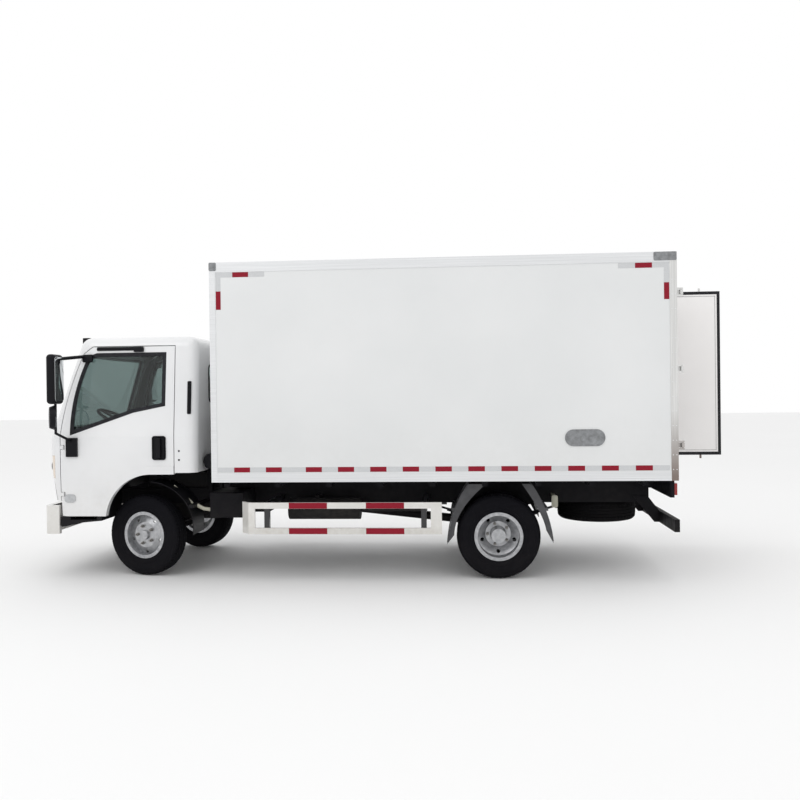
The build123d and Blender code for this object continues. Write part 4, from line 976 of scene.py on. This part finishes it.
# Wheels: pressed steel discs and rims in silver enamel, held by five nuts on long studs.
# The front hub has a smooth cap, and the rear hub stands deep in the outer wheel.
silver = Paint("silver_enamel", metallic=0.75, roughness=0.3)
silver.feed(base_color=silver.mottle(30.0, 5.0, (0.32, 0.325, 0.34), (0.5, 0.505, 0.515)))
silver.bump(silver.noise(120.0, 3.0), 0.08, 0.0006)
silver.onto("front_rim_left", "front_rim_right", "rear_rims_left", "rear_rims_right", "spare_wheel")
tread.onto("front_tyre_left", "front_tyre_right", "rear_tyres_left", "rear_tyres_right")
nut_count = 5
nut_radius = 0.016
nut_height = 0.022
stud_radius = 0.0085
# The nut circle's radius, and how far out of the wheel's middle the nuts' seats stand
front_nut_seat = (0.086, 0.0505)
rear_nut_seat = (0.1, 0.0135)


def wheel_nuts(shape, centre, sign, circle, seat):
    """A circle of hexagon nuts and studs on a wheel's disc, at a distance from its middle."""
    flat = Matrix.Rotation(-sign * math.pi / 2, 4, "X")
    for count in range(nut_count):
        turn = math.tau * (count + 0.5) / nut_count
        spot = centre + Vector((circle * math.cos(turn), sign * seat, circle * math.sin(turn)))
        for radius, length, corners in ((nut_radius, nut_height, 6), (stud_radius, nut_height * 1.7, 10)):
            place = Matrix.Translation(spot + Vector((0, sign * length / 2, 0))) @ flat
            sizes = {"radius1": radius, "radius2": radius * 0.9, "depth": length}
            bmesh.ops.create_cone(shape, cap_ends=True, segments=corners, matrix=place, **sizes)


for side, sign in sides:
    shape = bmesh.new()
    wheel_nuts(shape, Vector((front_axle_x, sign * front_track, tyre_radius)), sign, *front_nut_seat)
    bmesh.ops.transform(shape, matrix=steered(sign), verts=shape.verts)
    place_piece(f"front_nuts_{side}", shape, plated, f"front_wheel_{side}")
    shape = bmesh.new()
    wheel_nuts(shape, Vector((rear_axle_x, sign * rear_track, tyre_radius)), sign, *rear_nut_seat)
    place_piece(f"rear_nuts_{side}", shape, plated, f"rear_wheels_{side}")

# The spare: the same tyre on a steel wheel, lying flat close under the rails at the tail.
# Its rim is out of sight there, so a pressed steel disc stands for it.
spare_low, spare_high = map(Vector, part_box("spare_wheel"))
spare_centre = (spare_low + spare_high) / 2
spare_tread = Paint("spare_tyre_rubber", roughness=0.8, specular_ior_level=0.06)
spare_tread.feed(base_color=low_dust(spare_tread, 1.2, (0.005, 0.005, 0.006), (0.035, 0.031, 0.028), 0.3))
spare_tread.bump(spare_tread.noise(200.0, 3.0), 0.2, 0.0008)
shape = bmesh.new()
add_tyre(shape, spare_centre, Vector((0, 0, 1)))
spare = place_piece("spare_tyre", shape, spare_tread, "chassis")
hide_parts("spare_wheel")
# The disc fills the tyre's middle, with four shallow steps pressed in each face
disc_segments = 48
disc = bmesh.new()
disc_radius = 0.206
disc_thickness = 0.006
spot = Matrix.Translation(spare_centre)
bmesh.ops.create_circle(disc, cap_ends=True, segments=disc_segments, radius=disc_radius, matrix=spot)
raise_faces(disc, disc.faces[:], (0, 0, disc_thickness))
bmesh.ops.recalc_face_normals(disc, faces=disc.faces)
for face in [face for face in disc.faces if len(face.verts) == disc_segments]:
    for rim, depth in ((0.012, 0.002), (0.06, -0.002), (0.05, -0.002), (0.03, 0.002)):
        sink(disc, face, rim, depth)
place_piece("spare_disc", disc, silver, "chassis")

# The studio: a plain pale floor that runs out to a pale surround.
# Three soft lamps light it: from the front left, from the rear left and from above.
floor_reach = 60.0
floor_shape = bmesh.new()
bmesh.ops.create_grid(floor_shape, x_segments=8, y_segments=8, size=floor_reach)
floor_mesh = bpy.data.meshes.new("floor")
floor_shape.to_mesh(floor_mesh)
floor_shape.free()
floor = into_scene("floor", floor_mesh)
floor_paint = Paint("pale_floor", roughness=0.8)
floor_tone = floor_paint.ramp(floor_paint.noise(0.3), (0.0, (0.86, 0.86, 0.86)), (1.0, (0.88, 0.88, 0.88)))
floor_paint.feed(base_color=floor_tone)
floor_mesh.materials.append(floor_paint.material)

world = bpy.data.worlds.new("studio")
bpy.context.scene.world = world
world.use_nodes = True
surround = world.node_tree.nodes["Background"]
surround.inputs["Color"].default_value = (1.0, 1.0, 1.0, 1)
surround.inputs["Strength"].default_value = 1.0
# A lamp's name, its place, the point it is aimed at, its side and its power
for name, spot, aim, size, power in (
    ("key", (-6.0, -9.0, 8.5), (-0.5, 0, 1.2), 6.0, 130),
    ("side", (9.0, -8.0, 5.0), (0.5, 0, 1.3), 6.0, 40),
    ("top", (0.0, 0.0, 10.0), (0, 0, 0), 9.0, 110),
):
    lamp = bpy.data.lights.new(name, "AREA")
    lamp.size = size
    lamp.energy = power
    holder = into_scene(name, lamp)
    holder.location = spot
    holder.rotation_euler = (Vector(aim) - Vector(spot)).to_track_quat("-Z", "Y").to_euler()

# The camera stands where the photograph was taken from, to the left of the truck.
# It was solved from the wheels, the box's corners and the leaf that stands open.
eye = Vector((front_axle_x + 3.05991, -8.66414, 1.70557))
yaw, pitch, roll = math.radians(4.42985), math.radians(-0.30043), math.radians(-0.68372)
photo_side = 800
focal_pixels = 835.06
camera_data = bpy.data.cameras.new("camera")
camera_data.sensor_fit = "HORIZONTAL"
camera_data.sensor_width = 36.0
camera_data.lens = focal_pixels * camera_data.sensor_width / photo_side
camera_data.clip_end = 200
camera = into_scene("camera", camera_data)
level = Matrix.Rotation(yaw, 4, "Z") @ Matrix.Rotation(math.pi / 2 + pitch, 4, "X")
camera.matrix_world = Matrix.Translation(eye) @ level @ Matrix.Rotation(roll, 4, "Z")
bpy.context.scene.camera = camera
bpy.context.scene.view_settings.view_transform = "Standard"
